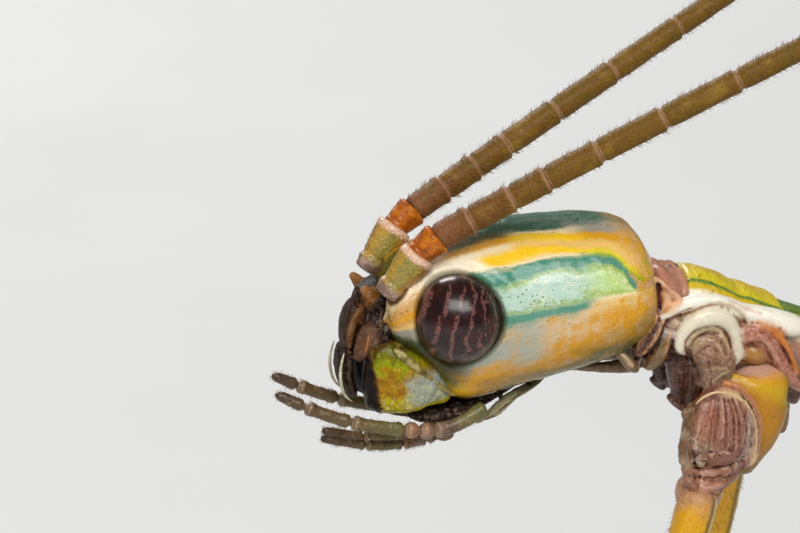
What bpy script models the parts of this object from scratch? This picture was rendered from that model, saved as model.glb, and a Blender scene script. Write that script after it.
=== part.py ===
"""A large winged stick insect, female, standing on its six feet.

All sizes below are in millimetres and are turned into metres when a mesh is made.
While the insect is being shaped the origin lies midway between its eyes, with +X
towards the tail, +Y towards its right side and +Z up. At the end it is moved so that
its feet stand at z = 0 under the middle of its outline.
"""

import math

import bmesh
import bpy
from mathutils import Matrix, Vector

MM = 0.001
GAP = 0.3                  # left between pieces that touch
FLOOR = -72.0              # height of the floor below the eyes

HEAD_PITCH = 10.0          # the head points down by this many degrees
EYE_CENTRE = (0.0, 2.85, 0.0)
EYE_RADII = (1.96, 1.95, 2.06)

PROTHORAX_LENGTH = 8.0
MESOTHORAX_LENGTH = 33.5
METATHORAX_LENGTH = 26.0
ABDOMEN_LENGTH = 86.0
PROTHORAX_SLOPE = 20.5     # degrees by which each stretch falls towards the tail
MESOTHORAX_SLOPE = 19.5
METATHORAX_SLOPE = 15.0
ABDOMEN_SLOPES = (11.0, 9.0, 7.0, 5.0)
BODY_START = (11.75, 0.0, -1.75)

FLAGELLUM_LENGTH = 64.0
ANTENNA_RISE = 0.550       # rise and outward drift for each step towards the tail
ANTENNA_SPREAD = 0.17
ANTENNA_TIP_RADIUS = 0.27

FEMUR = {"front": 33.0, "mid": 31.0, "hind": 38.0}
TIBIA = {"front": 34.0, "mid": 31.0, "hind": 42.0}
FEMUR_WIDTH = {"front": 2.3, "mid": 2.2, "hind": 2.6}
TIBIA_WIDTH = {"front": 1.5, "mid": 1.5, "hind": 1.7}
TARSUS_LENGTH = {"front": 12.0, "mid": 11.0, "hind": 12.5}
ANKLE_HEIGHT = 1.75
SOLE_WIDTH = 1.2

WING_THICKNESS = 0.6
WING_CLEARANCE = 0.45
TEGMEN_LENGTH = 30.0
HIND_WING_LENGTH = 64.0
CERCUS_LENGTH = 13.0
OPERCULUM_LENGTH = 20.0
OPERCULUM_OVERHANG = 4.0     # how far it reaches past the end of the abdomen

SIDES = (("left", -1.0), ("right", 1.0))

COLOURS = {
    "green": (0.10, 0.33, 0.24),
    "yellow": (0.62, 0.42, 0.05),
    "eye": (0.07, 0.015, 0.015),
    "horn": (0.16, 0.08, 0.04),
    "feeler": (0.36, 0.22, 0.06),
    "membrane": (0.45, 0.26, 0.20),
    "leg": (0.50, 0.40, 0.07),
    "wing": (0.16, 0.36, 0.12),
    "mandible": (0.35, 0.36, 0.04),
    "palp": (0.24, 0.17, 0.07),
}


def clear_scene():
    for item in list(bpy.data.objects):
        bpy.data.objects.remove(item, do_unlink=True)


def make_material(name, colour):
    material = bpy.data.materials.new(name)
    material.use_nodes = True
    shader = material.node_tree.nodes["Principled BSDF"]
    shader.inputs["Base Color"].default_value = (*colour, 1.0)
    shader.inputs["Roughness"].default_value = 0.35
    shader.inputs["Metallic"].default_value = 0.0
    return material


def oval(centre, side, up, half_width, above, below, count, power=2.0):
    """A closed loop of points around a centre; above and below the middle may differ."""
    points = []
    for step in range(count):
        turn = 2.0 * math.pi * (step + 0.5) / count
        across = math.copysign(abs(math.cos(turn)) ** (2.0 / power), math.cos(turn))
        high = math.copysign(abs(math.sin(turn)) ** (2.0 / power), math.sin(turn))
        reach = above if high > 0 else below
        points.append(centre + side * (half_width * across) + up * (reach * high))
    return points


def loft(name, loops, colour):
    """One closed body through a row of loops, with a flat face at each end."""
    mesh = bmesh.new()
    rows = [[mesh.verts.new(point * MM) for point in loop] for loop in loops]
    count = len(rows[0])
    for near, far in zip(rows, rows[1:]):
        for step in range(count):
            after = (step + 1) % count
            mesh.faces.new((near[step], near[after], far[after], far[step]))
    mesh.faces.new(rows[0])
    mesh.faces.new(rows[-1])
    return finish_body(name, mesh, colour)


def finish_body(name, mesh, colour):
    bmesh.ops.recalc_face_normals(mesh, faces=mesh.faces)
    data = bpy.data.meshes.new(name)
    mesh.to_mesh(data)
    mesh.free()
    data.materials.append(make_material(name, COLOURS[colour]))
    body = bpy.data.objects.new(name, data)
    bpy.context.collection.objects.link(body)
    data.shade_smooth()
    data.set_sharp_from_angle(angle=math.radians(50.0))
    return body


def keep_clear(body, neighbour):
    """Cut a body back from its neighbour so that the touching gap is left."""
    cutter_mesh = neighbour.data.copy()
    normals = [vertex.normal.copy() for vertex in cutter_mesh.vertices]
    for vertex, normal in zip(cutter_mesh.vertices, normals):
        vertex.co += normal * (GAP * 1.1 * MM)
    cutter = bpy.data.objects.new(f"cutter_{body.name}_{neighbour.name}", cutter_mesh)
    bpy.context.collection.objects.link(cutter)
    cutter.hide_render = True
    cutter.display_type = "WIRE"
    cut = body.modifiers.new("clearance", "BOOLEAN")
    cut.operation = "DIFFERENCE"
    cut.solver = "EXACT"
    cut.object = cutter


def tube(name, stations, colour, count=10, up=Vector((0, 0, 1)), power=2.0):
    """A closed body along (point, half width, half height) stations."""
    points = [Vector(station[0]) for station in stations]
    loops = []
    for index, (point, half_width, half_height) in enumerate(stations):
        before = points[max(index - 1, 0)]
        after = points[min(index + 1, len(points) - 1)]
        along = (after - before).normalized()
        side = along.cross(up).normalized()
        high = side.cross(along).normalized()
        loops.append(oval(Vector(point), side, high, half_width, half_height,
                          half_height, count, power))
    return loft(name, loops, colour)


# ---- head -------------------------------------------------------------------

HEAD_TURN = Matrix.Rotation(math.radians(-HEAD_PITCH), 3, "Y")


def head_point(along, across, high):
    """A place on the head, measured along, across and up from the middle of the eyes."""
    return HEAD_TURN @ Vector((along, across, high))


# Stations down the head capsule: along, half width, top and bottom
HEAD_STATIONS = (
    (-3.75, 1.70, 0.55, -0.35),
    (-3.35, 2.35, 1.15, -0.75),
    (-2.50, 2.90, 2.00, -1.45),
    (-1.50, 3.20, 2.60, -2.45),
    (-0.50, 3.40, 2.95, -3.60),
    (0.60, 3.55, 3.10, -4.30),
    (2.00, 3.70, 3.12, -4.65),
    (4.00, 3.80, 2.92, -4.70),
    (6.00, 3.80, 2.58, -4.60),
    (7.60, 3.65, 2.22, -4.40),
    (8.80, 3.25, 1.78, -3.95),
    (9.50, 2.50, 1.12, -3.25),
    (9.85, 1.40, 0.25, -2.30),
)


def make_head():
    side = Vector((0, 1, 0))
    up = head_point(0, 0, 1)
    loops = []
    for along, half_width, top, bottom in HEAD_STATIONS:
        middle = 0.5 * (top + bottom)
        half_height = 0.5 * (top - bottom)
        centre = head_point(along, 0, middle)
        loops.append(oval(centre, side, up, half_width, half_height, half_height, 22, 2.2))
    return loft("head_capsule", loops, "green")


def make_eye(word, sign):
    mesh = bmesh.new()
    bmesh.ops.create_uvsphere(mesh, u_segments=18, v_segments=12, radius=1.0)
    centre = head_point(EYE_CENTRE[0], sign * EYE_CENTRE[1], EYE_CENTRE[2])
    sizes = Matrix.Diagonal(Vector(EYE_RADII) * MM).to_4x4()
    place = Matrix.Translation(centre * MM) @ HEAD_TURN.to_4x4() @ sizes
    bmesh.ops.transform(mesh, matrix=place, verts=mesh.verts)
    return finish_body(f"eye_{word}", mesh, "eye")


def make_mandible(word, sign):
    stations = (
        ((-0.75, 1.75, -3.95), 0.55, 0.40),
        ((-1.50, 1.60, -3.30), 1.00, 0.95),
        ((-2.60, 1.45, -2.60), 1.20, 1.55),
        ((-3.55, 1.30, -2.15), 1.10, 1.60),
        ((-4.20, 1.05, -1.90), 0.80, 1.15),
    )
    placed = [(head_point(a, sign * b, c), wide, high)
              for (a, b, c), wide, high in stations]
    return tube(f"mandible_{word}", placed, "mandible", count=14)


def make_clypeus():
    stations = (
        ((-3.80, 0.0, 0.15), 1.35, 0.45),
        ((-4.15, 0.0, -0.25), 1.55, 0.50),
        ((-4.50, 0.0, -0.70), 1.50, 0.42),
    )
    placed = [(head_point(*at), wide, thick) for at, wide, thick in stations]
    return tube("clypeus", placed, "horn", count=12, power=2.4)


def make_labrum():
    stations = (
        ((-4.72, 0.0, -1.05), 1.40, 0.28),
        ((-4.95, 0.0, -1.75), 1.45, 0.30),
        ((-4.88, 0.0, -2.50), 1.25, 0.30),
        ((-4.60, 0.0, -3.10), 0.90, 0.27),
    )
    placed = [(head_point(*at), wide, thick) for at, wide, thick in stations]
    return tube("labrum", placed, "horn", count=12, up=Vector((1, 0, 0)), power=2.4)


def make_labium():
    stations = (
        ((1.60, 0.0, -5.15), 1.05, 0.30),
        ((0.00, 0.0, -5.20), 1.30, 0.42),
        ((-2.00, 0.0, -5.00), 1.20, 0.42),
        ((-3.60, 0.0, -4.60), 0.90, 0.32),
    )
    placed = [(head_point(*at), wide, thick) for at, wide, thick in stations]
    return tube("labium", placed, "palp", count=12)


# How far each side's palps reach forward, as a share, and how far they hang down
PALP_POSE = {"left": (1.0, 0.0), "right": (0.94, 0.35)}


def make_palps(word, sign, reach, drop):
    upper = (
        ((0.80, 1.75, -5.05), 0.42),
        ((-0.50, 1.95, -5.40), 0.42),
        ((-1.70, 2.05, -5.45), 0.40),
        ((-3.20, 2.05, -5.00), 0.38),
        ((-6.05, 2.00, -3.70), 0.36),
        ((-7.70, 1.80, -2.60), 0.32),
        ((-8.70, 1.60, -1.85), 0.26),
    )
    lower = (
        ((-0.80, 0.80, -6.05), 0.32),
        ((-2.60, 0.90, -6.15), 0.32),
        ((-4.40, 0.95, -5.80), 0.31),
        ((-6.90, 0.85, -4.75), 0.26),
    )
    for name, stations in (("maxillary_palp", upper), ("labial_palp", lower)):
        placed = [(head_point(a * reach, sign * b, c - drop), radius, radius)
                  for (a, b, c), radius in stations]
        tube(f"{name}_{word}", placed, "palp", count=8)


SCAPE_BASE = (-2.65, 1.95, 1.95)
SCAPE_END = (-1.10, 2.12, 3.25)
PEDICEL_END = (-0.10, 2.22, 3.80)


def antenna_point(sign, distance):
    """A place on the long thread of the antenna, at a distance from its start."""
    start = head_point(PEDICEL_END[0], sign * PEDICEL_END[1], PEDICEL_END[2])
    heading = Vector((1.0, sign * ANTENNA_SPREAD, ANTENNA_RISE)).normalized()
    bow = (distance / FLAGELLUM_LENGTH) ** 2
    droop = Vector((0.0, sign * 3.0, -3.5)) * bow
    return start + heading * distance + droop


def make_antenna(word, sign, head):
    base = head_point(SCAPE_BASE[0], sign * SCAPE_BASE[1], SCAPE_BASE[2])
    bend = head_point(SCAPE_END[0], sign * SCAPE_END[1], SCAPE_END[2])
    end = head_point(PEDICEL_END[0], sign * PEDICEL_END[1], PEDICEL_END[2])
    rise = (bend - base).normalized()
    turn = (end - bend).normalized()
    scape = (
        (base, 0.55, 0.55),
        (base + rise * 0.5, 0.74, 0.72),
        (base + (bend - base) * 0.8, 0.78, 0.72),
        (bend, 0.66, 0.64),
    )
    body = tube(f"antenna_scape_{word}", scape, "feeler", count=12)
    keep_clear(body, head)
    pedicel = (
        (bend + turn * GAP, 0.62, 0.62),
        (bend + (end - bend) * 0.6, 0.70, 0.70),
        (end - turn * GAP, 0.64, 0.64),
    )
    tube(f"antenna_pedicel_{word}", pedicel, "feeler", count=12)
    thread = []
    steps = 14
    for step in range(steps + 1):
        part = step / steps
        radius = 0.66 - (0.66 - ANTENNA_TIP_RADIUS) * part ** 0.8
        thread.append((antenna_point(sign, FLAGELLUM_LENGTH * part), radius, radius))
    tube(f"antenna_flagellum_{word}", thread, "feeler", count=8)


# ---- trunk ------------------------------------------------------------------

def body_line():
    """Corner points of the middle line of the trunk, with the slope of each stretch."""
    point = Vector(BODY_START)
    stretches = [(PROTHORAX_LENGTH, PROTHORAX_SLOPE), (MESOTHORAX_LENGTH, MESOTHORAX_SLOPE),
                 (METATHORAX_LENGTH, METATHORAX_SLOPE)]
    stretches += [(ABDOMEN_LENGTH / len(ABDOMEN_SLOPES), slope) for slope in ABDOMEN_SLOPES]
    line = [point.copy()]
    for length, slope in stretches:
        fall = math.radians(slope)
        point = point + Vector((math.cos(fall), 0.0, -math.sin(fall))) * length
        line.append(point.copy())
    return line


BODY_LINE = body_line()
BODY_LENGTHS = [0.0]
for start, stop in zip(BODY_LINE, BODY_LINE[1:]):
    BODY_LENGTHS.append(BODY_LENGTHS[-1] + (stop - start).length)


def body_at(distance):
    """Middle point and upward direction of the trunk, this far behind its front end."""
    for index in range(len(BODY_LINE) - 1):
        last = index == len(BODY_LINE) - 2
        if distance <= BODY_LENGTHS[index + 1] or last:
            along = (BODY_LINE[index + 1] - BODY_LINE[index]).normalized()
            point = BODY_LINE[index] + along * (distance - BODY_LENGTHS[index])
            return point, Vector((-along.z, 0.0, along.x))
    return None


# Half width, height above and depth below the middle line, by distance along the trunk
BODY_GIRTH = (
    (0.0, 2.30, 2.30, 2.20),
    (3.0, 2.60, 2.05, 2.35),
    (8.0, 2.40, 2.00, 2.20),
    (14.0, 2.40, 2.20, 2.30),
    (30.0, 3.40, 3.10, 3.20),
    (41.5, 4.30, 3.60, 3.90),
    (54.0, 4.70, 3.90, 4.30),
    (67.5, 4.60, 4.00, 4.50),
    (90.0, 5.20, 4.30, 4.90),
    (115.0, 5.00, 4.20, 4.60),
    (135.0, 3.90, 3.40, 3.60),
    (148.0, 3.00, 2.70, 2.70),
    (153.5, 2.10, 1.90, 1.90),
)


def girth_at(distance):
    for low, high in zip(BODY_GIRTH, BODY_GIRTH[1:]):
        if distance <= high[0]:
            part = (distance - low[0]) / (high[0] - low[0])
            return [a + (b - a) * part for a, b in zip(low[1:], high[1:])]
    return list(BODY_GIRTH[-1][1:])


def trunk_loop(distance, scale=1.0):
    centre, up = body_at(distance)
    half_width, above, below = (size * scale for size in girth_at(distance))
    return oval(centre, Vector((0, 1, 0)), up, half_width, above, below, 16, 2.15)


def make_stretch(name, start, stop, steps, colour):
    """One length of the trunk, its two ends drawn in a little like overlapping plates."""
    start += 0.5 * GAP
    stop -= 0.5 * GAP
    loops = [trunk_loop(start, 0.93)]
    for step in range(steps + 1):
        distance = start + 0.4 + (stop - start - 0.8) * step / steps
        loops.append(trunk_loop(distance))
    loops.append(trunk_loop(stop, 0.93))
    return loft(name, loops, colour)


def make_neck():
    stations = (
        ((7.60, 0.0, -2.75), 1.90, 1.00),
        ((8.60, 0.0, -2.35), 2.20, 1.75),
        ((9.80, 0.0, -1.75), 2.30, 2.25),
        ((10.90, 0.0, -1.45), 2.20, 2.15),
        ((11.45, 0.0, -1.62), 2.00, 2.00),
    )
    return tube("neck", stations, "membrane", count=16)


def make_trunk():
    prothorax = make_stretch("prothorax", 0.0, PROTHORAX_LENGTH, 3, "green")
    mesothorax_end = PROTHORAX_LENGTH + MESOTHORAX_LENGTH
    mesothorax = make_stretch("mesothorax", PROTHORAX_LENGTH, mesothorax_end, 5, "green")
    metathorax_end = mesothorax_end + METATHORAX_LENGTH
    metathorax = make_stretch("metathorax", mesothorax_end, metathorax_end, 4, "green")
    length = ABDOMEN_LENGTH / len(ABDOMEN_SLOPES)
    for index in range(len(ABDOMEN_SLOPES)):
        start = metathorax_end + index * length
        last = make_stretch(f"abdomen_{index + 1}", start, start + length, 5, "green")
    return prothorax, mesothorax, metathorax, last


def wing_loops(sign, start, length, width_angle, lift, widths):
    """Loops across a folded wing: a thin curved shell lying round the back of the trunk."""
    loops = []
    for part, spread in widths:
        distance = start + length * part
        centre, up = body_at(distance)
        half_width, above, below = girth_at(distance)
        outer = []
        inner = []
        steps = 6
        for step in range(steps + 1):
            turn = math.radians(3.5) + math.radians(width_angle) * spread * step / steps
            for row, rise in ((inner, lift), (outer, lift + WING_THICKNESS)):
                across = Vector((0, 1, 0)) * (sign * (half_width + rise) * math.sin(turn))
                row.append(centre + across + up * ((above + rise) * math.cos(turn)))
        loops.append(outer + inner[::-1])
    return loops


def make_wings(word, sign):
    hind_lift = WING_CLEARANCE
    tegmen_lift = hind_lift + WING_THICKNESS + WING_CLEARANCE
    hind = ((0.0, 0.35), (0.10, 0.70), (0.35, 0.95), (0.70, 1.00), (0.90, 0.80), (1.0, 0.30))
    loft(f"hind_wing_{word}", wing_loops(sign, 43.0, HIND_WING_LENGTH, 66.0, hind_lift, hind),
         "wing")
    fore = ((0.0, 0.30), (0.12, 0.75), (0.45, 1.00), (0.80, 0.80), (1.0, 0.25))
    loft(f"tegmen_{word}", wing_loops(sign, 36.5, TEGMEN_LENGTH, 62.0, tegmen_lift, fore),
         "wing")


# Stations along the operculum: share of its length, half width, half height and
# depth of its middle as a share of the abdomen's own depth
OPERCULUM_STATIONS = (
    (0.00, 1.50, 0.70, 0.95),
    (0.22, 2.50, 1.70, 0.80),
    (0.55, 2.20, 1.80, 0.80),
    (0.85, 1.20, 1.10, 1.00),
    (1.00, 0.45, 0.40, 1.25),
)


def make_tail(last_length):
    """Boat-shaped plate under the end of the abdomen and the two leaf-like cerci."""
    total = BODY_LENGTHS[-1]
    start = total - OPERCULUM_LENGTH + OPERCULUM_OVERHANG
    placed = []
    for part, wide, high, sunk in OPERCULUM_STATIONS:
        distance = start + OPERCULUM_LENGTH * part
        centre, up = body_at(distance)
        below = girth_at(distance)[2]
        placed.append((centre - up * (below * sunk), wide, high))
    operculum = tube("operculum", placed, "green", count=14)
    keep_clear(operculum, last_length)
    for word, sign in SIDES:
        leaf = []
        for part, wide in ((0.0, 0.6), (0.3, 1.5), (0.7, 1.6), (1.0, 0.5)):
            centre, up = body_at(total + GAP + CERCUS_LENGTH * part)
            across = Vector((0, sign * (1.15 + 2.2 * part), 0))
            leaf.append((centre + across + up * 0.4, 0.35, wide))
        tube(f"cercus_{word}", leaf, "green", count=8, up=Vector((0, 0, 1)))


# ---- legs -------------------------------------------------------------------

def thigh_and_shin(hip, foot, thigh, shin, outward):
    """The knee of a two-part leg between hip and foot, bent towards the outward side."""
    reach = foot - hip
    span = min(reach.length, thigh + shin - 0.1)
    along = (thigh ** 2 - shin ** 2 + span ** 2) / (2.0 * span)
    height = math.sqrt(max(thigh ** 2 - along ** 2, 0.0))
    forward = reach.normalized()
    sideways = (outward - forward * outward.dot(forward)).normalized()
    return hip + forward * along + sideways * height


def limb(name, start, stop, wide, deep, ends, colour, facing):
    """A straight length of leg, a little thicker at both ends than in between."""
    along = (stop - start).normalized()
    begin = start + along * GAP
    finish = stop - along * GAP
    first, last = ends
    stations = []
    for part, size in ((0.0, 0.88 * first), (0.03, first), (0.12, 0.94 * first),
                       (0.50, 0.86 * (first + last) / 2.0), (0.90, 0.92 * last),
                       (0.97, last), (1.0, 0.72 * last)):
        point = begin + (finish - begin) * part
        stations.append((point, 0.5 * wide * size, 0.5 * deep * size))
    return tube(name, stations, colour, count=10, up=facing)


def foot(name, ankle, heading, length):
    """A tarsus lying on the floor: its sole is one flat face at floor level."""
    side = Vector((-heading.y, heading.x, 0.0))
    up = Vector((0, 0, 1))
    loops = []
    profile = ((0.00, 0.55, ANKLE_HEIGHT + 0.35, ANKLE_HEIGHT - 0.55),
               (0.16, 0.60, 1.45, 0.25), (0.26, 0.62, 1.15, 0.0), (0.60, 0.60, 1.0, 0.0),
               (0.90, 0.55, 1.0, 0.0), (1.00, 0.35, 0.75, 0.0))
    for part, half_width, top, bottom in profile:
        start = Vector((ankle.x, ankle.y, FLOOR)) + heading * (length * part)
        corners = ((-1.0, bottom), (1.0, bottom), (1.0, 0.5 * (top + bottom)),
                   (0.55, top), (-0.55, top), (-1.0, 0.5 * (top + bottom)))
        loops.append([start + side * (half_width * across) + up * high
                      for across, high in corners])
    return loft(name, loops, "leg")


def front_leg(word, sign, thorax):
    """Front leg: the thigh falls steeply from a long coxa under the neck."""
    if word == "left":
        coxa = (((12.35, -2.55, -2.90), 1.45, 1.30), ((13.60, -3.00, -5.20), 1.75, 1.95),
                ((13.10, -3.20, -7.10), 1.70, 1.75), ((12.25, -3.25, -8.85), 1.25, 1.30))
        thigh_heading = Vector((-0.346, -0.211, -0.915)).normalized()
        shin_heading = Vector((-0.80, -0.60, 0.0))
    else:
        coxa = (((12.80, 2.55, -2.90), 1.45, 1.30), ((14.40, 3.00, -5.20), 1.75, 1.95),
                ((14.90, 3.20, -7.10), 1.60, 1.65), ((15.10, 3.25, -8.85), 1.25, 1.20))
        thigh_heading = Vector((-0.087, 0.188, -0.978)).normalized()
        shin_heading = Vector((-0.90, 0.44, 0.0))
    body = tube(f"front_{word}_coxa", coxa, "yellow", count=12, up=Vector((1, 0, 0)))
    keep_clear(body, thorax)
    hip = Vector(coxa[-1][0])
    knee = hip + thigh_heading * FEMUR["front"]
    drop = knee.z - (FLOOR + ANKLE_HEIGHT)
    run = math.sqrt(TIBIA["front"] ** 2 - drop ** 2)
    shin_heading.normalize()
    ankle = Vector((knee.x, knee.y, knee.z - drop)) + shin_heading * run
    finish_leg("front", word, body, hip, knee, ankle, shin_heading)


def finish_leg(rank, word, coxa, hip, knee, ankle, heading):
    """Thigh, shin and foot, each cut clear of the piece before it."""
    wide = FEMUR_WIDTH[rank]
    facing = Vector((1, 0, 0))
    femur = limb(f"{rank}_{word}_femur", hip, knee, 0.85 * wide, wide, (1.0, 0.80), "leg",
                 facing)
    keep_clear(femur, coxa)
    wide = TIBIA_WIDTH[rank]
    tibia = limb(f"{rank}_{word}_tibia", knee, ankle, wide, wide, (1.0, 0.85), "leg", facing)
    keep_clear(tibia, femur)
    toe_start = ankle + heading * (2.2 * GAP)
    foot(f"{rank}_{word}_tarsus", toe_start, heading, TARSUS_LENGTH[rank])


LEG_PLACES = {
    # distance of the coxa along the trunk, foot: towards the tail and out from the hip
    "mid": {"along": 37.5, "back": -6.0, "out": 24.0},
    "hind": {"along": 53.0, "back": 32.0, "out": 33.0},
}


def rear_leg(rank, word, sign, thorax):
    """Middle or hind leg: a short coxa at the lower side of the trunk, then the thigh."""
    place = LEG_PLACES[rank]
    centre, up = body_at(place["along"])
    half_width, above, below = girth_at(place["along"])
    root = centre + Vector((0, sign * half_width * 0.62, 0)) - up * (below * 0.62)
    outward = Vector((0, sign * 0.62, 0)) - up * 0.78
    hip = root + outward.normalized() * 4.2
    coxa = ((root, 1.75, 1.60), (root + (hip - root) * 0.55, 1.60, 1.50), (hip, 1.20, 1.15))
    body = tube(f"{rank}_{word}_coxa", coxa, "yellow", count=12, up=Vector((1, 0, 0)))
    keep_clear(body, thorax)
    ankle = Vector((hip.x + place["back"], hip.y + sign * place["out"],
                    FLOOR + ANKLE_HEIGHT))
    lean = Vector((place["back"] * 0.01, sign * 0.8, 1.0))
    knee = thigh_and_shin(hip, ankle, FEMUR[rank], TIBIA[rank], lean)
    heading = Vector((ankle.x - hip.x, ankle.y - hip.y, 0.0)).normalized()
    finish_leg(rank, word, body, hip, knee, ankle, heading)


def stand_on_floor():
    """Move every body so that the feet are at z = 0 under the middle of the outline."""
    low = Vector((math.inf,) * 3)
    high = Vector((-math.inf,) * 3)
    solids = [item for item in bpy.data.objects if not item.hide_render]
    for item in solids:
        for vertex in item.data.vertices:
            low = Vector(map(min, low, vertex.co))
            high = Vector(map(max, high, vertex.co))
    shift = Vector((-(low.x + high.x) / 2.0, -(low.y + high.y) / 2.0, -FLOOR * MM))
    for item in bpy.data.objects:
        item.data.transform(Matrix.Translation(shift))


def build():
    clear_scene()
    head = make_head()
    for word, sign in SIDES:
        eye = make_eye(word, sign)
        keep_clear(head, eye)
        mandible = make_mandible(word, sign)
        keep_clear(mandible, head)
        reach, drop = PALP_POSE[word]
        make_palps(word, sign, reach, drop)
        make_antenna(word, sign, head)
    clypeus = make_clypeus()
    keep_clear(clypeus, head)
    make_labrum()
    labium = make_labium()
    keep_clear(labium, head)
    neck = make_neck()
    keep_clear(neck, head)
    prothorax, mesothorax, metathorax, last_length = make_trunk()
    for word, sign in SIDES:
        make_wings(word, sign)
        front_leg(word, sign, prothorax)
        rear_leg("mid", word, sign, mesothorax)
        rear_leg("hind", word, sign, metathorax)
    make_tail(last_length)
    stand_on_floor()


build()
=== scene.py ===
import math
from functools import partial

import bpy
import numpy as np
from mathutils import Matrix, Vector, kdtree, noise


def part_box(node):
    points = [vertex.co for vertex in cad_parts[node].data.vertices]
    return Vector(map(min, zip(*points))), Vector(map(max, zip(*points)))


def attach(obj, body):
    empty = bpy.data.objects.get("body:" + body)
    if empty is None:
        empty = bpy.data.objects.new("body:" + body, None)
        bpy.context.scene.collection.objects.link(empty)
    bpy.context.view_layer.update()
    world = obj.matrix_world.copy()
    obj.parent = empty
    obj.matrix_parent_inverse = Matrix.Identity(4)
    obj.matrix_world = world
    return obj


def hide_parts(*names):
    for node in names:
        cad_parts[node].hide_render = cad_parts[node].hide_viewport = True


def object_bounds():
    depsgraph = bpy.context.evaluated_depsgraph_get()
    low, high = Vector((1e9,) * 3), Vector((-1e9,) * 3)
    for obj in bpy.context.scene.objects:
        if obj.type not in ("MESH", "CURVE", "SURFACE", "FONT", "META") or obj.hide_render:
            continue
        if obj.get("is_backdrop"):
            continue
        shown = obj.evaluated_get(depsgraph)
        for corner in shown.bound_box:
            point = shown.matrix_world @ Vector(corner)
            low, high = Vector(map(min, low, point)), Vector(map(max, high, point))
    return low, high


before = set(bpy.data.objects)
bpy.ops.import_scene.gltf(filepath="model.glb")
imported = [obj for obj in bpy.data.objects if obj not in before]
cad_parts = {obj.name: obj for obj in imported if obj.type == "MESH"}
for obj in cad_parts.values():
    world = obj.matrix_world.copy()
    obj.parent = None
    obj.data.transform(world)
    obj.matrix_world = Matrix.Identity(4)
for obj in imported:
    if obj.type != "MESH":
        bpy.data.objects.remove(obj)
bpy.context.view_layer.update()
print("frame loaded")

mm = 0.001
sides = (("left", -1.0), ("right", 1.0))


def middleOf(node):
    low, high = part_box(node)
    return (Vector(low) + Vector(high)) / 2


# everything is shaped in millimetres from the point midway between the eyes,
# -X ahead, +Y the insect's right, +Z up
eyesMid = (middleOf("eye_left") + middleOf("eye_right")) / 2
headPitch = math.radians(10.0)
headTurn = np.array(Matrix.Rotation(-headPitch, 3, "Y"))


def headPoint(along, across, high):
    return headTurn @ np.array((along, across, high), float)


def unit(v):
    v = np.asarray(v, float)
    return v / np.maximum(np.linalg.norm(v, axis=-1, keepdims=True), 1e-9)


def smooth(low, high, x):
    t = np.clip((np.asarray(x, float) - low) / (high - low), 0.0, 1.0)
    return t * t * (3 - 2 * t)


def squared(wave, power):
    # a sine or cosine with its corners pushed out
    return np.sign(wave) * np.abs(wave) ** (2 / power)


def beyond(first, last, more):
    # past the last point of a line, along it
    return last + unit(last - first) * more


def bell(x, middle, width):
    return np.exp(-((np.asarray(x, float) - middle) / width) ** 2)


def spline(x, stations):
    # smooth curve through rows of (place, value, value ...)
    stations = np.asarray(stations, float)
    xs, ys = stations[:, 0], stations[:, 1:]
    slope = np.gradient(ys, xs, axis=0)
    x = np.clip(np.asarray(x, float), xs[0], xs[-1])
    i = np.clip(np.searchsorted(xs, x) - 1, 0, len(xs) - 2)
    h = (xs[i + 1] - xs[i])[..., None]
    t = ((x - xs[i]) / (xs[i + 1] - xs[i]))[..., None]
    a, b = ys[i], ys[i + 1]
    return ((2 * t**3 - 3 * t**2 + 1) * a + (t**3 - 2 * t**2 + t) * h * slope[i] + (3 * t**2 - 2 * t**3) * b
        + (t**3 - t**2) * h * slope[i + 1])


def rough(points, size, seed=0.0, octaves=3):
    # fractal noise at each point, about -1 to 1, with lumps of the given size
    flat = np.asarray(points).reshape(-1, 3) / size + seed
    values = [noise.fractal(Vector(p), 0.7, 2.0, octaves) for p in flat]
    return np.array(values).reshape(np.asarray(points).shape[:-1])


def swell(grid, depth, size, seed):
    # lumps on a tube-like grid, outwards from its middle line
    return grid + depth * rough(grid, size, seed)[..., None] * unit(grid - grid.mean(axis=1)[:, None])


def gridNormals(grid, wrap=True):
    if wrap:
        across = np.roll(grid, -1, axis=1) - np.roll(grid, 1, axis=1)
    else:
        across = np.gradient(grid, axis=1)
    return unit(np.cross(np.gradient(grid, axis=0), across))


def finishPiece(piece, nodes, material):
    piece.data.materials.append(material)
    piece.data.shade_smooth()
    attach(piece, "root")
    if nodes:
        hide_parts(*nodes)
    return piece


def link(name, data):
    thing = bpy.data.objects.new(name, data)
    bpy.context.scene.collection.objects.link(thing)
    return thing


def addFields(data, fields):
    for word, values in fields.items():
        layer = data.attributes.new(word, "FLOAT", "POINT")
        layer.data.foreach_set("value", np.asarray(values, np.float32))


def toMesh(name, points, faces, fields=None):
    data = bpy.data.meshes.new(name)
    placed = np.asarray(points, float) * mm + np.array(eyesMid)
    data.from_pydata(placed.tolist(), [], faces)
    addFields(data, fields or {})
    data.validate()
    return link(name, data)


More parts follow.
